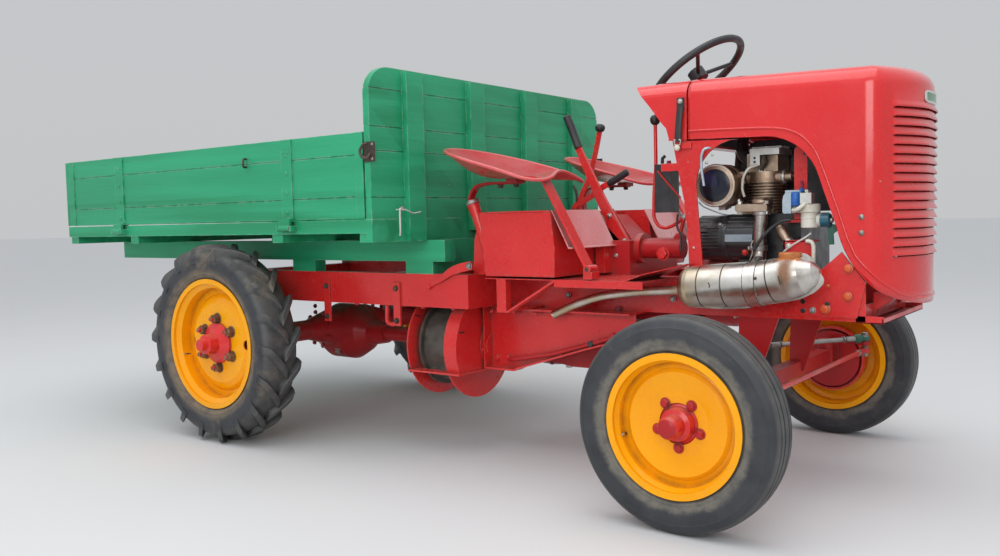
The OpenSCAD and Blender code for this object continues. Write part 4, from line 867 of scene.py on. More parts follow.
# Cylinder, head and inlet
form = Form()
form.block((1319, -160, 900), (1432, -22, 915))
form.sheet_y([(1322, 914), (1328, 908), (1424, 908), (1430, 914), (1430, 926), (1424, 932), (1328, 932),
    (1322, 926)], -210, -158)
form.plug((1403, -186, 930), UP, 30, 20, 0, 32, 6)
for x in (1335, 1422):
    form.hexagon((x, -198, 909), DOWN, 17, 9, 1, turn=x)
    form.hexagon((x, -198, 932), UP, 17, 9, 1, turn=x)
for x in (1331, 1420):
    for y in (-149, -33):
        form.hexagon((x, y, 915), UP, 17, 9, 1, turn=x)
        form.stud((x, y, 924), UP, 4.6, 8, 1)
form.block((1350, -152, 1092), (1449, -30, 1113), coat=2)
form.block((1351, -152, 1058), (1384, -142, 1093), coat=2)
for z in (1070, 1083):
    form.dome((1367, -152, z), RIGHT, 4.2, 2, 3)
for y in (-128, -92, -56):
    form.block((1349, y - 3, 1113), (1449, y + 3, 1120), coat=2)
form.tube([(1398, -148, 1092), (1404, -150, 1072), (1392, -146, 1052), (1385, -140, 1040)],
    [7, 9, 8, 6], 12, 3, 0.7)
form.plug((1310, -110, 1020), AHEAD, 21.5, 22, 3)
form.plug((1331, -110, 1020), AHEAD, 25.5, 7)
form.plug((1337, -110, 1020), AHEAD, 22.5, 106, 0, 36)
form.plug((1438, -110, 1020), AHEAD, 25.0, 10)
form.plug((1448, -110, 1020), AHEAD, 23.5, 9, 2)
form.plug((1457, -110, 1020), AHEAD, 15.5, 19, 3)
form.plug((1384, -112, 998), UP, 25.5, 54, 0, 32, 4)
form.hexagon((1384, -136, 1037), (0, -1, 0.2), 15, 9, 1)
form.plug((1384, -136, 1012), RIGHT, 9, 5)
form.tube([(1474, -112, 1020), (1500, -140, 1022), (1524, -172, 1022)], 4.2, 10, 4)
form.done("cylinder_dress", "engine_iron", [BRONZE, BOLT_STEEL, ALUMINIUM, DARK_IRON, GREY_STEEL],
    angle=34, bevel=1.2)
form = Form()
form.bent([(1250, 6, 1004), (1256, -6, 1090), (1284, -44, 1150), (1285, -66, 1102), (1338, -80, 1066)],
    34, 6, 17, 20)
form.band((1330, -78, 1071), (0.8, -0.2, -0.5), 17, 6, 2.2, 1, 24)
form.bent([(1376, -150, 1060), (1352, -166, 1052), (1334, -168, 1024), (1329, -166, 984), (1334, -158, 958)],
    18, 5, 4.4, 10, 2)
form.plug((1314, -152, 925), UP, 8, 16, 1)
form.hexagon((1314, -152, 941), UP, 15, 9, 1)
form.bent([(1168, -150, 945), (1186, -158, 929), (1222, -160, 914), (1258, -150, 900), (1272, -120, 897)],
    14, 4, 2.4, 8, 3)
form.bent([(1508, -214, 878), (1480, -216, 876), (1448, -217, 856), (1416, -218, 824), (1386, -216, 784)],
    20, 4, 5.2, 10)
form.done("engine_hoses", "rubber", [BLACK, BOLT_STEEL, WHITE_PLASTIC, PALE_BLUE], angle=50)
form = Form()
at = frame_at((1249, -200, 997), RIGHT)
form.lathe([(69.5, -20), (71.4, -17), (71.6, -2), (70.6, 1.5), (68.0, 2.4)], at, 64, 2)
form.lathe([(68.4, 1.6), (67.6, 3.4), (65.2, 3.4), (64.2, 0.5)], at, 64)
form.lathe([(65.0, -0.4), (60, 2.0), (30, 4.2), (8, 5.0)], at, 64, 1)
for y in (-96, -138, -176):
    form.band((1249, y, 997), LEFT, 69.8, 2.5, 1.6, 2, 64)
form.band((1249, -112, 997), LEFT, 70, 11, 2.0, 3, 64)
form.block((1238, -146, 915), (1262, -128, 934), coat=4)
form.hexagon((1262, -122, 928), AHEAD, 14, 8, 4)
form.done("filter_dress", "engine_iron", [PALE_TRIM, FILTER_FACE, BRONZE, DARK_IRON, BOLT_STEEL], angle=32)

# Generator
form = Form()
at = frame_at((1262, -120, 822), AHEAD)
form.lathe([(75, 0), (76.4, 2), (76.4, 112), (72, 118)], at, 72)
form.lathe([(77, 6), (79, 8), (79, 20), (77, 22)], at, 72)
for deg in (28, 44, 60, 76):
    a = radians(deg)
    y, z = -120 - 76 * cos(a), 822 + 76 * sin(a)
    form.tube(upright(y, (1284, z), (1300, z), (1378, z)), 4.6, 8)
form.block((1282, -200.5, 810), (1376, -193, 834), coat=2)
for x in (1290, 1368):
    form.dome((x, -200.5, 822), RIGHT, 3, 1.5, 1, 12)
form.hexagon((1347, -186, 776), (0, -0.8, -0.55), 15, 8, 3)
form.hexagon((1262, -186, 864), (0, -0.8, 0.6), 12, 8, 1)
for k in range(7):
    z = 790 + 11 * k
    y = -120 - sqrt(76.0 ** 2 - (z - 822) ** 2)
    form.tube([(1174, y + 2, z), (1200, y - 0.5, z), (1256, y - 0.5, z)], 2.4, 6)
form.done("generator_dress", "black_metal", [BLACK, GREY_STEEL, BLUE_GREY, RED], angle=34, bevel=0.8)

# Fuel filter, pump and taps
form = Form()
form.spin([(25.2, 0), (26.8, 2), (26.8, 28), (27.8, 29), (27.8, 33), (26.8, 34), (26.8, 46), (30.5, 48),
    (33, 50), (33, 72), (30, 75)], (1560, -190, 853), UP, 40)
form.block((1540, -224, 928), (1576, -188, 962), coat=1)
form.hexagon((1558, -206, 962), UP, 18, 9, 2)
outline = [(1484, 905), (1488, 899), (1512, 899), (1512, 964), (1494, 964), (1487, 955), (1484, 940)]
form.sheet_y(outline, -222, -208, 3)
form.plug((1524, -214, 922), UP, 13.5, 44, 4, 28, 3)
form.plug((1524, -214, 936), RIGHT, 8.0, 14, 4)
form.bent([(1518, -222, 908), (1534, -230, 910), (1552, -226, 924), (1562, -214, 934)], 9, 4, 7.0, 12)
form.plug((1586, -196, 876), AHEAD, 19, 12, 5)
form.plug((1597, -196, 876), AHEAD, 21, 30, 6, 32, 2.5)
form.plug((1626, -196, 876), AHEAD, 9, 8, 2)
outline = [(1612, 866), (1638, 862), (1644, 842), (1632, 834), (1634, 800), (1618, 800), (1616, 832)]
form.sheet_y(outline, -189, -183, 7)
form.bent([(1530, -196, 944), (1531, -200, 968), (1544, -206, 984), (1540, -210, 1000)], 8, 4, 4.6, 10, 8)
form.plug((1534, -205, 966), (0.7, -0.4, 0.5), 7, 15, 4)
form.plug((1572, -204, 906), UP, 6, 22, 8)
form.sheet_y([(1483, 752), (1576, 752), (1576, 812), (1483, 814)], -212, -206, 9)
form.block((1483, -212, 809), (1576, -142, 815), coat=9)
form.block((1483, -212, 752), (1489, -142, 815), coat=9)
form.hexagon((1500, -212, 796), RIGHT, 13, 6, 2)
form.bent([(1560, -222, 813), (1578, -224, 810), (1583, -224, 796), (1582, -222, 742)], 9, 4, 6.4, 12)
form.hexagon((1562, -216, 812), (0, -0.6, 0.8), 14, 8, 2)
form.bent([(1572, -214, 836), (1556, -228, 822), (1528, -232, 806), (1496, -230, 784), (1488, -226, 776)],
    14, 4, 3.0, 8, 5)
form.tube([(1463, -186, 856), (1470, -190, 846), (1490, -194, 812)], [15, 16.5, 15], 24, 10)
form.plug((1489, -194, 814), (0.5, -0.1, -0.85), 17.5, 9, 1)
form.sheet_y([(1506, 880), (1548, 880), (1548, 1100), (1541, 1110), (1513, 1110), (1506, 1100)],
    -176, -170, 9)
form.block((1470, -176, 870), (1572, -138, 878), coat=9)
form.block((1490, -214, 901), (1540, -166, 972), coat=3)
form.block((1520, -176, 1104), (1544, -150, 1110), coat=9)
form.dome((1540, -176.2, 1086), RIGHT, 6.0, 0.8, 11)
form.dome((1524, -176.2, 1040), RIGHT, 5.0, 2.5, 9)
form.done("fuel_taps", "engine_iron", [WHITE_PLASTIC, ALUMINIUM, BOLT_STEEL, PALE_BLUE, BLUE_HOSE, PALE_TRIM,
    TEAL, BOOT, SHADED_PURPLE_RED, RED, BRONZE, BLACK], angle=36, bevel=1.0, replaces=["fuel_system"])

# Latch strap, bent rod and screws beside the engine
for side, name in SIDES:
    form = Form()
    y = side * HOOD_HALF
    form.block((1149, y, 1252), (1173, y + side * 9, 1288))
    form.hexagon((1161, y + side * 9, 1276), (0, side, 0), 12, 5, 1)
    strap = softened([(1161, y + side * 8, 1258), (1160, y + side * 11, 1236), (1156, y + side * 12, 1196),
        (1152, y + side * 11, 1146)], 14, 4)
    form.tube(strap, 11.5, 16, 2, 0.36, LEFT)
    form.tube([(1140, y + side * 12, 1150), (1164, y + side * 12, 1150)], 3, 8, 1)
    form.tube(upright(y + side * 12, (1140, 1150), (1143, 1134), (1161, 1134), (1164, 1150)), 2.4, 8, 1)
    form.tube([(1151, y - side * 2, 1124), (1151, y + side * 16, 1124)], 4.5, 12, 1)
    form.dome((1151, y + side * 13, 1124), (0, side, 0), 10.5, 8, 3)
    form.done(f"latch_strap_{name}", "rubber", [BLACK, BOLT_STEEL, GRIP, WHITE_PLASTIC], angle=40, bevel=0.8)
    form = Form()
    form.block((1158, y - side, 1120), (1196, y + side * 4, 1140))
    form.done(f"latch_tab_{name}", "red_paint", HOOD_RED, body="bonnet", bevel=1.2)
form = Form()
form.bent([(1262, -256, 1117), (1255, -270, 1118), (1243, -274, 1113), (1235, -274, 1094),
    (1235, -273, 1048), (1241, -268, 995)], 12, 4, 4.2, 12)
for x, z, r in ((1248, 1070, 5.0), (1200, 792, 4.5), (1268, 1094, 4.0), (1214, 700, 6.0)):
    form.dome((x, -262, z), RIGHT, r, 3.2, 1)
    form.dome((x, 262, z), LEFT, r, 3.2, 1)
for side in (-1, 1):
    for x, z in ((1699, 731), (1697, 647)):
        form.hexagon((x, side * 262, z), (0, side, 0), 19, 9, 2, turn=13 + side * 20)
    form.hexagon((1631, side * 262, 607), (0, side, 0), 22, 11, 2)
    form.plug((1636, side * 262, 622), (0, side, 0), 7, 3, 3)
    form.dome((1639, side * 262, 677), (0, side, 0), 5.5, 3, 2)
    for z in (627, 598):
        form.dome((1560, side * 256.2, z), (0, side, 0), 8, 0.7, 3)
form.done("frame_screws", "red_paint", [PALE_BLUE, BOLT_STEEL, BOLT_ORANGE, BLACK], angle=38, bevel=0.7)


# Seats: a deep pan with a rolled edge, two leg troughs and a pommel between them
WORN_RED = paint("sun worn red", (0.66, 0.13, 0.13), (0.74, 0.32, 0.32), (0.6, 0.55, 0.52), rough=0.26,
    coat=0.7, dust=0.5, wear=0.6)


def pan_rim(a):
    """Edge of the pan, measured from the seat's middle line; a is 0 at the front."""
    c, s = cos(a), sin(a)
    x = 570.0 + 252.0 * copysign(abs(c) ** 0.94, c)
    y = 219.0 * copysign(abs(s) ** 0.90, s)
    front = max(0.0, c)
    pommel = exp(-(a / 0.36) ** 2) if abs(a) < 2 else 0.0
    trough = exp(-((abs(a) - 0.86) / 0.30) ** 2) if abs(a) < 2 else 0.0
    x -= 52.0 * pommel
    z = 1096.0 - 0.28 * (x - 570.0) + 30.0 * pommel - 8.0 * trough - 4.0 * front
    return x, y, z


def pan_point(f, a):
    """A point of the pan: f is 0 at its middle and 1 at its edge."""
    x, y, z = pan_rim(a)
    hollow = 1.0 - f ** 2.5
    floor_z = 1046.0 - 0.03 * (x - 540.0) * f
    mid_x = 530.0
    px = mid_x + (x - mid_x) * f
    pz = floor_z + (z - floor_z) * (1.0 - hollow)
    ease = max(0.0, cos(a)) * smooth(f, 0.35, 0.95)
    pz += (z - pz) * ease * 0.30
    return px, y * f, pz


for side, name in SIDES:
    mid = side * 400.0
    form = Form()
    steps = 96
    angles = [tau * k / steps - pi for k in range(steps)]
    rings = []
    for f in (0.03, 0.12, 0.24, 0.36, 0.48, 0.58, 0.67, 0.75, 0.82, 0.88, 0.93, 0.97, 1.0):
        rings.append([(p[0], mid + p[1], p[2]) for p in (pan_point(f, a) for a in angles)])
    form.rings(rings, caps=(True, False))
    piece = form.done(f"seat_pan_{name}", "red_paint", [SEAT_RED, SHADED_RED], angle=60,
        replaces=[f"seat_{name}"])
    # The inner side takes the darker red of painted shade.
    thicken(piece, 0.0025, 1)
    form = Form()
    edge = [pan_rim(a) for a in angles]
    path = [(x, mid + y, z - 3.0) for x, y, z in edge]
    form.tube(path + path[:2], 6.2, 10)
    form.done(f"seat_edge_{name}", "red_paint", SEAT_RED, angle=70)

# Under the seats: flat leg with its bolt, and the curved spring bar with two nuts
form = Form()
for side in (-1, 1):
    y = side * 470.0
    form.tube([(752, y, 1034), (932, y, 716)], 4.5, 4, 0, 5.4, LEFT, True)
    form.tube([(753, y, 1033), (724, y, 1041), (650, y * 0.985, 1047)], 4.0, 4, 0, 5.4, LEFT, True)
    form.block((912, y - 24, 697), (946, y + 24, 722))
    form.plug((928, y - side * 26, 730), (0, side, 0), 14, 54)
    form.plug((928, y + side * 26, 730), (0, side, 0), 8, 4, 1)
    y = side * 400.0
    bar = softened(upright(y, (440, 872), (392, 905), (368, 950), (372, 985), (396, 1024), (452, 1034),
        (596, 1031)), 40, 8)
    form.tube(bar, 5.0, 4, 2, 3.0, LEFT, True)
    form.block((556, y - 30, 1030), (600, y + 30, 1044), coat=2)
    for x in (510, 580):
        form.hexagon((x, y, 1027), DOWN, 19, 10, 1)
form.done("seat_supports", "red_paint", [RED, DARK_IRON, SHADED_RED], angle=30, bevel=1.2,
    replaces=["seat_posts"])

# Tanks with their raised side panel, sloping front and filler
form = Form()
for side in (-1, 1):
    body = [(484, 924), (488, 927), (782, 927), (788, 922), (804, 800), (800, 701), (508, 701)]
    form.sheet_y(body, side * 200, side * 498)
    form.sheet_y([(446, 921), (450, 926), (530, 926), (530, 701), (404, 701), (412, 830)],
        side * 210, side * 438)
    panel = soft_outline([(520, 922), (494, 921), (510, 726), (520, 712), (542, 707), (796, 704), (802, 708),
        (804, 800), (786, 914), (782, 920), (700, 922)], 14, 4)
    form.sheet_y(panel, side * 497.0, side * 499.8)
    form.tube([(510, side * 498.6, 925), (640, side * 498.8, 926), (784, side * 498.6, 925)], 3.2, 8)
    slope = [(783, 928), (787, 929), (853, 803), (866, 800), (866, 797), (850, 798)]
    form.sheet_y(slope, side * 176, side * 486, 2)
    form.block((808, side * 186, 701), (846, side * 240, 800))
form.block((565, -200, 803), (680, 200, 924))
form.bent(upright(-466, (436, 956), (499, 783), (551, 758)), 40, 6, 20, 24)
form.plug((436, -466, 950), (-0.34, 0, 0.94), 23, 8, 0, 32)
form.spin([(27, 0), (28, 2), (28, 11), (26, 14), (14, 16), (2, 16.5)], (433.5, -466, 957),
    (-0.34, 0, 0.94), 40, 1)
form.block((488, -480, 716), (512, -440, 760))
form.done("tank_shell", "red_paint", [RED, GREY_STEEL, WORN_RED], angle=34, bevel=2.2,
    replaces=["seat_base"])

# Levers with their grips, quadrant plates and links
form = Form()
form.tube(upright(-100, (650, 1180), (668, 1140), (704, 1066), (757, 960), (850, 800)), [12, 13, 15, 19, 22],
    4, 0, 0.42, LEFT, True)
form.bent(upright(-100, (608, 1284), (622, 1254), (658, 1164)), 20, 4, 15.5, 20, 1)
form.dome((608, -100, 1284), (-0.4, 0, 0.9), 15, 6, 1)
path = softened(upright(0, (694, 1240), (682, 1188), (656, 1090), (640, 1046), (600, 980),
    (592, 924)), 26, 5)
form.tube(path, [9.5] * len(path), 4, 0, 0.45, LEFT, True)
form.spin([(10, 0), (17, 6), (19.5, 14), (18.5, 22), (13, 28), (6, 30.5)], (691, 0, 1228),
    (0.2, 0, 1), 28, 1)
path = softened(upright(-60, (776, 1030), (738, 1016), (688, 982), (640, 958), (612, 946),
    (606, 922)), 18, 4)
form.tube(path, [10.5] * len(path), 4, 0, 0.5, LEFT, True)
form.tube(upright(-60, (762, 1024), (772, 1029), (842, 1065)), [11, 13.5, 13.5], 20, 1)
form.dome((842, -60, 1065), (0.9, 0, 0.45), 12.5, 4, 1)
form.block((590, -76, 906), (626, -44, 932), coat=3)
for y in (-120, -84):
    form.sheet_y([(770, 928), (794, 932), (884, 800), (884, 792), (804, 792)], y, y + 4)
form.sheet_y([(806, 800), (818, 800), (820, 790), (806, 790)], -120, -84)
for x, z in ((860, 812), (798, 905)):
    form.hexagon((x, -120, z), RIGHT, 14, 7, 4)
form.tube([(760, -76, 945), (812, -74, 880), (862, -70, 800)], 3, 8, 4)
path = softened(upright(-105, (983, 1236), (984, 1078), (975, 983), (973, 893), (992, 864), (1020, 856),
    (1056, 868), (1094, 896)), 26, 5)
form.tube(path, 6.6, 12)
form.spin([(8, -18), (15, -12), (18.5, -2), (18, 7), (13, 15), (5, 18)], (983, -105, 1242), UP, 28, 1)
form.tube(upright(-105, (1075, 828), (1080, 850), (1094, 896)), 7, 12)
form.block((1063, -117, 822), (1087, -93, 838))
form.hexagon((1094, -112, 896), RIGHT, 14, 7, 4)
form.tube(upright(-203, (1040, 1056), (1066, 1026), (1126, 960)), 3.6, 8, 2)
form.bent(upright(30, (560, 930), (566, 980), (560, 1010), (548, 1030)), 14, 4, 5, 10, 3)
form.done("lever_set", "red_paint", [RED, GRIP, SHADED_RED, DARK_IRON, BOLT_STEEL], angle=36, bevel=1.0,
    replaces=["levers"])
recoat("dash_posts", BLACK, lambda x, y, z: 1026 < x < 1091 and -201 < y < -139 and 911 < z < 1079)
recoat("steering_gear", BLACK, lambda x, y, z: z < 561 or (1180 < x < 1280 and abs(y) < 46 and z < 1262))
form = Form()
form.hexagon((1030, -146, 766), (0, -1, 0.1), 34, 16, dome=0.05)
for x, z in ((765, 770), (864, 762)):
    form.hexagon((x, -190, z), RIGHT, 12, 5, 1)
for x, z in ((825, 768), (832, 774)):
    form.dome((x, -190, z), RIGHT, 7, 0.8, 2)
form.tube([(1042, -170, 1082), (1042, -168, 1100), (1052, -168, 1108)], 6, 10, 2)
form.hexagon((1076, -188, 1079), UP, 15, 9, 3)
form.bent(upright(-165, (1096, 905), (1092, 860), (1110, 830), (1106, 780)), 14, 4, 4, 8, 2)
form.done("cover_bolts", "red_paint", [RED, BOLT_STEEL, BLACK, SHADED_PURPLE_RED], angle=36, bevel=0.8)

# Irons of the bed: bolts, latches, pegs and worn end caps
for side, name in SIDES:
    form = Form()
    for x in (-1370, -220):
        for z in (946, 1018, 1092, 1160):
            form.dome((x, side * 776, z), (0, side, 0), 8.5, 4)
        form.plug((x - 31, side * 792, 886), AHEAD, 9.5, 62, 1, 24)
        form.block((x - 24, side * 770, 1168), (x + 24, side * 778, 1178))
    eye = softened([(-458, side * 774, 1160), (-452, side * 792, 1160), (-452, side * 794, 1128),
        (-458, side * 774, 1128)], 8, 4)
    form.tube(eye, 4.2, 10, 2)
    form.done(f"side_irons_{name}", "green_wood", [WOOD_X, GREY_STEEL, DARK_IRON], body=f"{name}_side",
        angle=40, bevel=0.8)
    form = Form()
    hook = softened([(222, side * 786, 1176), (214, side * 797, 1172), (196, side * 798, 1150),
        (206, side * 798, 1128), (230, side * 794, 1122), (236, side * 786, 1140)], 9, 5)
    form.tube(hook, 5.0, 10, 2)
    form.block((196, side * 770, 1112), (246, side * 776, 1182), coat=2)
    for z in (1122, 1172):
        form.dome((236, side * 776, z), (0, side, 0), 5.5, 3, 1)
    form.done(f"bed_latch_{name}", "black_metal", [WOOD_X, GREY_STEEL, DARK_IRON], angle=40, bevel=1.0)
form = Form()
peg = softened([(246, -650, 948), (262, -660, 948), (262, -672, 948), (262, -672, 862),
    (256, -668, 852)], 8, 4)
form.tube(peg, 3.4, 8)
form.bent([(262, -690, 944), (262, -640, 944), (262, -600, 930), (262, -560, 936)], 10, 4, 2.2, 8)
form.spin([(6, 0), (9, 2), (9, 7), (6, 9)], (250, -652, 948), AHEAD, 16, 1)
form.done("bed_peg", "black_metal", [PALE_TRIM, BOLT_STEEL], angle=40)


# Winch: brake rod, hook lever, bolts and marks
recoat("winch_frame", DARK_IRON, lambda x, y, z: (y + 290) ** 2 + (z - 420) ** 2 < 20.5 ** 2
    and 121 < x < 299)
form = Form()
lever = softened([(244, -505, 650), (252, -506, 664), (300, -508, 682), (352, -508, 714), (404, -508, 730),
    (452, -505, 738)], 30, 5)
form.tube(lever, [7 + 9.0 * smooth(p.x, 250, 400) for p in lever], 4, 0, 0.42, LEFT, True)
form.tube([(246, -514, 656), (246, -492, 656)], 9, 12)
form.hexagon((446, -514, 737), RIGHT, 18, 8, 1)
for x, z in ((404, 373), (456, 380)):
    form.hexagon((x, -300, z), RIGHT, 19, 9, turn=x)
rod = softened([(470, -318, 374), (503, -332, 378), (675, -334, 409), (857, -334, 462),
    (930, -334, 486)], 20, 4)
form.tube(rod, 8.0, 12, 2)
form.bent([(640, -330, 392), (760, -332, 430), (860, -332, 470), (940, -332, 492)], 20, 4, 3.5, 8)
form.plug((842, -344, 458), LEFT, 11, 20, 3)
form.plug((930, -344, 488), LEFT, 13, 22, 2)
form.tube([(690, -330, 412), (720, -330, 420)], 10.5, 6, 2)
for x, z in ((396, 536), (500, 530), (600, 548), (700, 540)):
    form.hexagon((x, -322, 558), DOWN, 17, 9, turn=x)
form.tube([(117.5, -452, 538), (121.6, -439, 535), (121.6, -426, 531)], 3.6, 8, 3, 0.6)
form.tube([(358.5, -478, 488), (361.0, -464, 484), (361.0, -450, 486)], 5.0, 8, 3, 0.6)
form.plug((360, -290, 420), AHEAD, 70, 7, 2, 48, 2)
form.plug((366, -290, 420), AHEAD, 46, 12, 0, 40, 2)
for k, y, z in around(6, 58, 60, 12):
    form.hexagon((367, -290 + y, 420 + z), AHEAD, 14, 7, turn=k * 31)
form.done("winch_dress", "red_paint", [RED, GREY_STEEL, SHADED_RED, BLACK], angle=34, bevel=0.9)
form = Form()
for k in range(26):
    x = 146 + 5.3 * k
    form.band((x, -290, 420), AHEAD, 109.4, 2.3, 1.6, 0, 72)
for x in (143, 287):
    form.band((x, -290, 420), AHEAD, 127.6, 4.5, 1.0, 1, 72)
form.done("drum_wear", "engine_iron", [DRUM, DARK_IRON], body="drum", angle=40)
nodes["winch_drum"].data.materials[0] = DRUM
form = Form()
# The side plate, lever, bolts and belly take the dark purple red of painted shade.
form.sheet_y([(748, 470), (748, 545), (900, 566), (924, 566), (922, 492), (870, 482)], -262, -256)
form.bent([(764, -270, 530), (784, -274, 530), (796, -274, 514), (784, -272, 490), (764, -268, 492),
    (758, -266, 450)], 12, 4, 7, 10)
form.tube([(758, -266, 535), (758, -266, 446)], 6, 10)
form.block((905, -262, 500), (960, -210, 552), coat=1)
form.bent([(915, -262, 548), (950, -268, 556), (985, -262, 540), (1010, -240, 540)], 12, 4, 5, 8, 1)
for x, z in ((760, 552), (910, 576)):
    form.hexagon((x, -262, z), RIGHT, 16, 7)
belly = [[(500 + 120 * cos(a) * k, -40 + 95 * sin(a) * k, 344 - 24 * (1 - k * k)) for a in (tau * i / 40
    for i in range(40))] for k in (1.0, 0.93, 0.8, 0.6, 0.35, 0.1)]
form.rings(belly, 0, caps=(False, True))
form.hexagon((560, -40, 327), DOWN, 27, 14, 2)
for k in range(10):
    a = tau * k / 10
    form.hexagon((500 + 112 * cos(a), -40 + 88 * sin(a), 340), DOWN, 14, 7, turn=20 * k)
for k in range(8):
    a = radians(-75 + 24 * k)
    form.hexagon((1286, 135 * sin(a), 525 + 128 * cos(a)), AHEAD, 14, 7, 2)
form.done("gearbox_dress", "dark_red_paint", [SHADED_PURPLE_RED, BLACK, BOLT_STEEL], angle=36, bevel=0.9)

# Rear frame: stirrups, flange bolts, axle ribs, cover bolts and drain plugs
form = Form()
for side in (-1, 1):
    outer = side * 500.0
    for x in (60, -330, -980):
        form.block((x, outer, 500), (x + 34, outer + side * 9, 668))
        for z in (520, 645):
            form.hexagon((x + 17, outer + side * 9, z), (0, side, 0), 17, 8, 1, turn=x)
    for x in (-1240, -860, -590, -180, 180, 330):
        form.hexagon((x, side * 470, 578), DOWN, 17, 8, turn=x)
    stirrup = softened(upright(side * 486, (6, 576), (2, 508), (34, 500), (56, 512), (56, 576)), 12, 4)
    form.tube(stirrup, 8.5, 12)
form.done("rail_dress", "red_paint", [RED, DARK_IRON], angle=34, bevel=1.4)
form = Form()
for k, y, z in around(12, 118, 30, 11.459156):
    form.hexagon((REAR_X - 147, y, REAR_Z + z), (-1, 0, 0), 15, 7, turn=20 * k)
for side in (-1, 1):
    for k, x, z in around(8, 78, 45, 17.188734):
        form.hexagon((REAR_X + x, side * 186, REAR_Z + z), (0, side, 0), 15, 8, turn=12 * k)
form.hexagon((REAR_X, 40, 262), DOWN, 26, 13, 1)
form.hexagon((-700, -96, 300), (0, -0.6, -0.8), 24, 12, 1)
form.done("axle_dress", "dark_red_paint", [SHADED_RED, BOLT_STEEL], angle=36, bevel=0.8)

# Steering rods: lock nuts and boots; then the small tray ahead of the axle and the bolts of the front frame
ARM_X, ARM_Z = FRONT_X + 150.0, 384.0
form = Form()
for side in (-1, 1):
    for off in (84, 100):
        form.plug((ARM_X, side * (590 - off), ARM_Z - 22), (0, side, 0), 12.5, 9, 1, 6)
    form.hexagon((ARM_X, side * 590, ARM_Z - 31), DOWN, 22, 12, 1)
    form.hexagon((ARM_X, side * 590, ARM_Z - 13), UP, 20, 6, 1)
form.done("tie_rod_nuts", "red_paint", [RED, GREY_STEEL], body="track_rod", angle=36, bevel=0.8)
form = Form()
start, end = Vector((ARM_X, 590, ARM_Z + 26)), Vector((1245, 185, ARM_Z + 26))
way = (end - start).normalized()
for place, sign in ((start, 1), (end, -1)):
    spot = place + way * (sign * 20)
    form.spin([(15, 0), (18, 5), (15.5, 9), (18, 13), (15.5, 17), (18, 21), (14, 27), (10.5, 30)], spot,
        way * sign, 24, 1)
    form.plug(place + way * (sign * 96), way * sign, 13, 9, 0, 6)
    form.hexagon(place + Vector((0, 0, 9)), UP, 22, 12)
    form.spin([(16, 0), (19.5, 4), (19.5, 14), (15, 19)], place + Vector((0, 0, -9.5)), UP, 24, 1)
form.done("drag_link_boots", "engine_iron", [GREY_STEEL, BOOT], body="steering_link", angle=36, bevel=0.8)
form = Form()
form.block((1716, -250, 566), (1796, 250, 570))
for y in (-250, 246):
    form.block((1716, y, 566), (1796, y + 4, 588))
form.block((1792, -250, 566), (1796, 250, 582))
for side in (-1, 1):
    for x in (1330, 1400):
        form.hexagon((x, side * 205, 574), DOWN, 20, 10, 1)
    for x, z in ((1590, 600), (1240, 640), (1120, 620), (900, 640), (700, 620)):
        form.hexagon((x, side * 256, z), (0, side, 0), 15, 7, 1, turn=x)
form.done("front_frame_bolts", "red_paint", [RED, GREY_STEEL], angle=34, bevel=0.8)

# Cooling shroud behind the cylinder, closed towards the far side
form = Form()
hull = soft_outline([(1268, 905), (1262, 1080), (1300, 1150), (1500, 1148), (1588, 1060),
    (1600, 905)], 46, 6)
form.sheet_y(hull, -18, 96)
for k in range(9):
    form.block((1310 + 22 * k, 96, 950), (1318 + 22 * k, 101, 1100))
for x, z in ((1285, 930), (1580, 930), (1300, 1120), (1550, 1080)):
    form.hexagon((x, -18, z), RIGHT, 14, 6, 1)
    form.hexagon((x, 96, z), LEFT, 14, 6, 1)
form.done("cooling_shroud", "black_metal", [BLACK, BOLT_STEEL], angle=34, bevel=4.0)


# Camera at the photographer's place
VIEW_FROM = (2.5093, -3.0703, 0.9025)
VIEW_YAW, VIEW_PITCH, VIEW_ROLL = radians(127.0), radians(-3.69), radians(-1.31)
scene = bpy.context.scene
camera = bpy.data.objects.new("camera", bpy.data.cameras.new("camera"))
scene.collection.objects.link(camera)
camera.data.lens = 32.92
camera.data.sensor_width = 36.0
camera.data.clip_end = 200.0
ahead = Matrix.Rotation(VIEW_YAW, 3, "Z") @ Vector((cos(VIEW_PITCH), 0, sin(VIEW_PITCH)))
held = ahead.to_track_quat("-Z", "Y").to_matrix().to_4x4()
camera.matrix_world = Matrix.Translation(VIEW_FROM) @ held @ Matrix.Rotation(VIEW_ROLL, 4, "Z")
scene.camera = camera

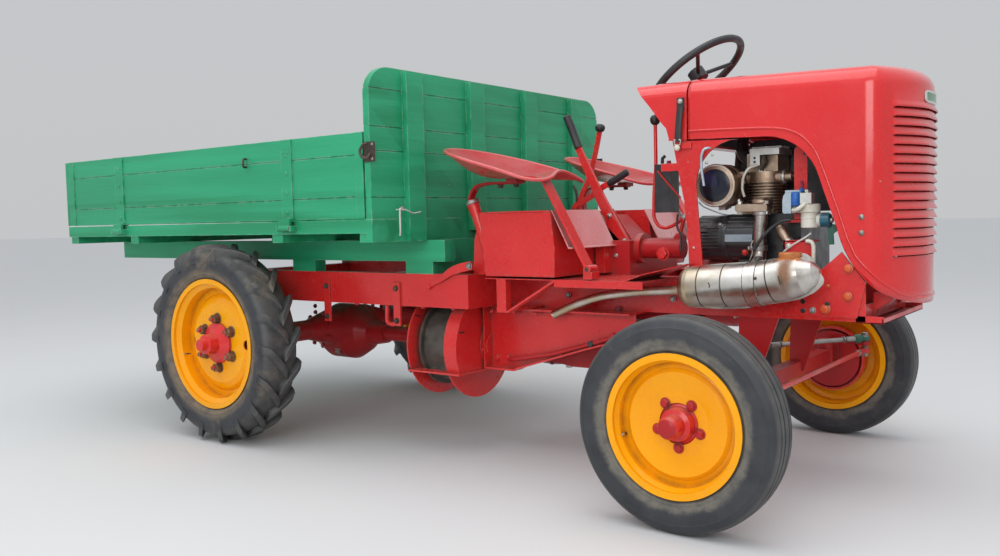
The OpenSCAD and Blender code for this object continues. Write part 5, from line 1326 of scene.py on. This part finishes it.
# Floor, sky and lamps
FLOOR_HALF = 90
floor_mesh = bpy.data.meshes.new("floor")
corners = [(x * FLOOR_HALF, y * FLOOR_HALF, 0) for x, y in ((-1, -1), (1, -1), (1, 1), (-1, 1))]
floor_mesh.from_pydata(corners, [], [(0, 1, 2, 3)])
floor = bpy.data.objects.new("floor", floor_mesh)
scene.collection.objects.link(floor)
g = Graph("floor")
g.set(Base_Color=g.mix(g.noise(1.2, 3), (0.615, 0.618, 0.62), (0.64, 0.643, 0.645)), Roughness=0.9,
    Specular_IOR_Level=0.1)
floor.data.materials.append(g.mat)

world = bpy.data.worlds.new("sky")
scene.world = world
world.use_nodes = True
tree = world.node_tree
back = tree.nodes["Background"]
back.inputs["Strength"].default_value = 0.80
where = tree.nodes.new("ShaderNodeTexCoord")
split = tree.nodes.new("ShaderNodeSeparateXYZ")
tree.links.new(where.outputs["Generated"], split.inputs[0])
band_node = tree.nodes.new("ShaderNodeValToRGB")
stops = [(0.0, (0.45, 0.45, 0.45)), (0.5, (0.69, 0.7, 0.71)), (0.62, (0.7, 0.72, 0.74)),
    (0.74, (0.98, 1.01, 1.05)), (1.0, (1.06, 1.09, 1.14))]
lift = tree.nodes.new("ShaderNodeMath")
lift.operation = "MULTIPLY_ADD"
tree.links.new(split.outputs["Z"], lift.inputs[0])
for number in (1, 2):
    lift.inputs[number].default_value = 0.5
tree.links.new(lift.outputs[0], band_node.inputs[0])
fill_ramp(band_node.color_ramp, stops)
tree.links.new(band_node.outputs[0], back.inputs["Color"])


def lamp(name, place, target, size, power):
    light = bpy.data.lights.new(name, "AREA")
    light.shape = "RECTANGLE"
    light.size, light.size_y = size
    light.energy = power
    held = bpy.data.objects.new(name, light)
    scene.collection.objects.link(held)
    held.location = place
    held.rotation_euler = (Vector(target) - Vector(place)).to_track_quat("-Z", "Y").to_euler()


lamp("overcast sky", (0.5, -1.5, 6.0), (0, 0, 0.5), (7.0, 6.0), 200)
lamp("near side", (2.5, -6.0, 2.6), (0, 0, 0.7), (4.0, 2.5), 115)
scene.view_settings.view_transform = "Standard"
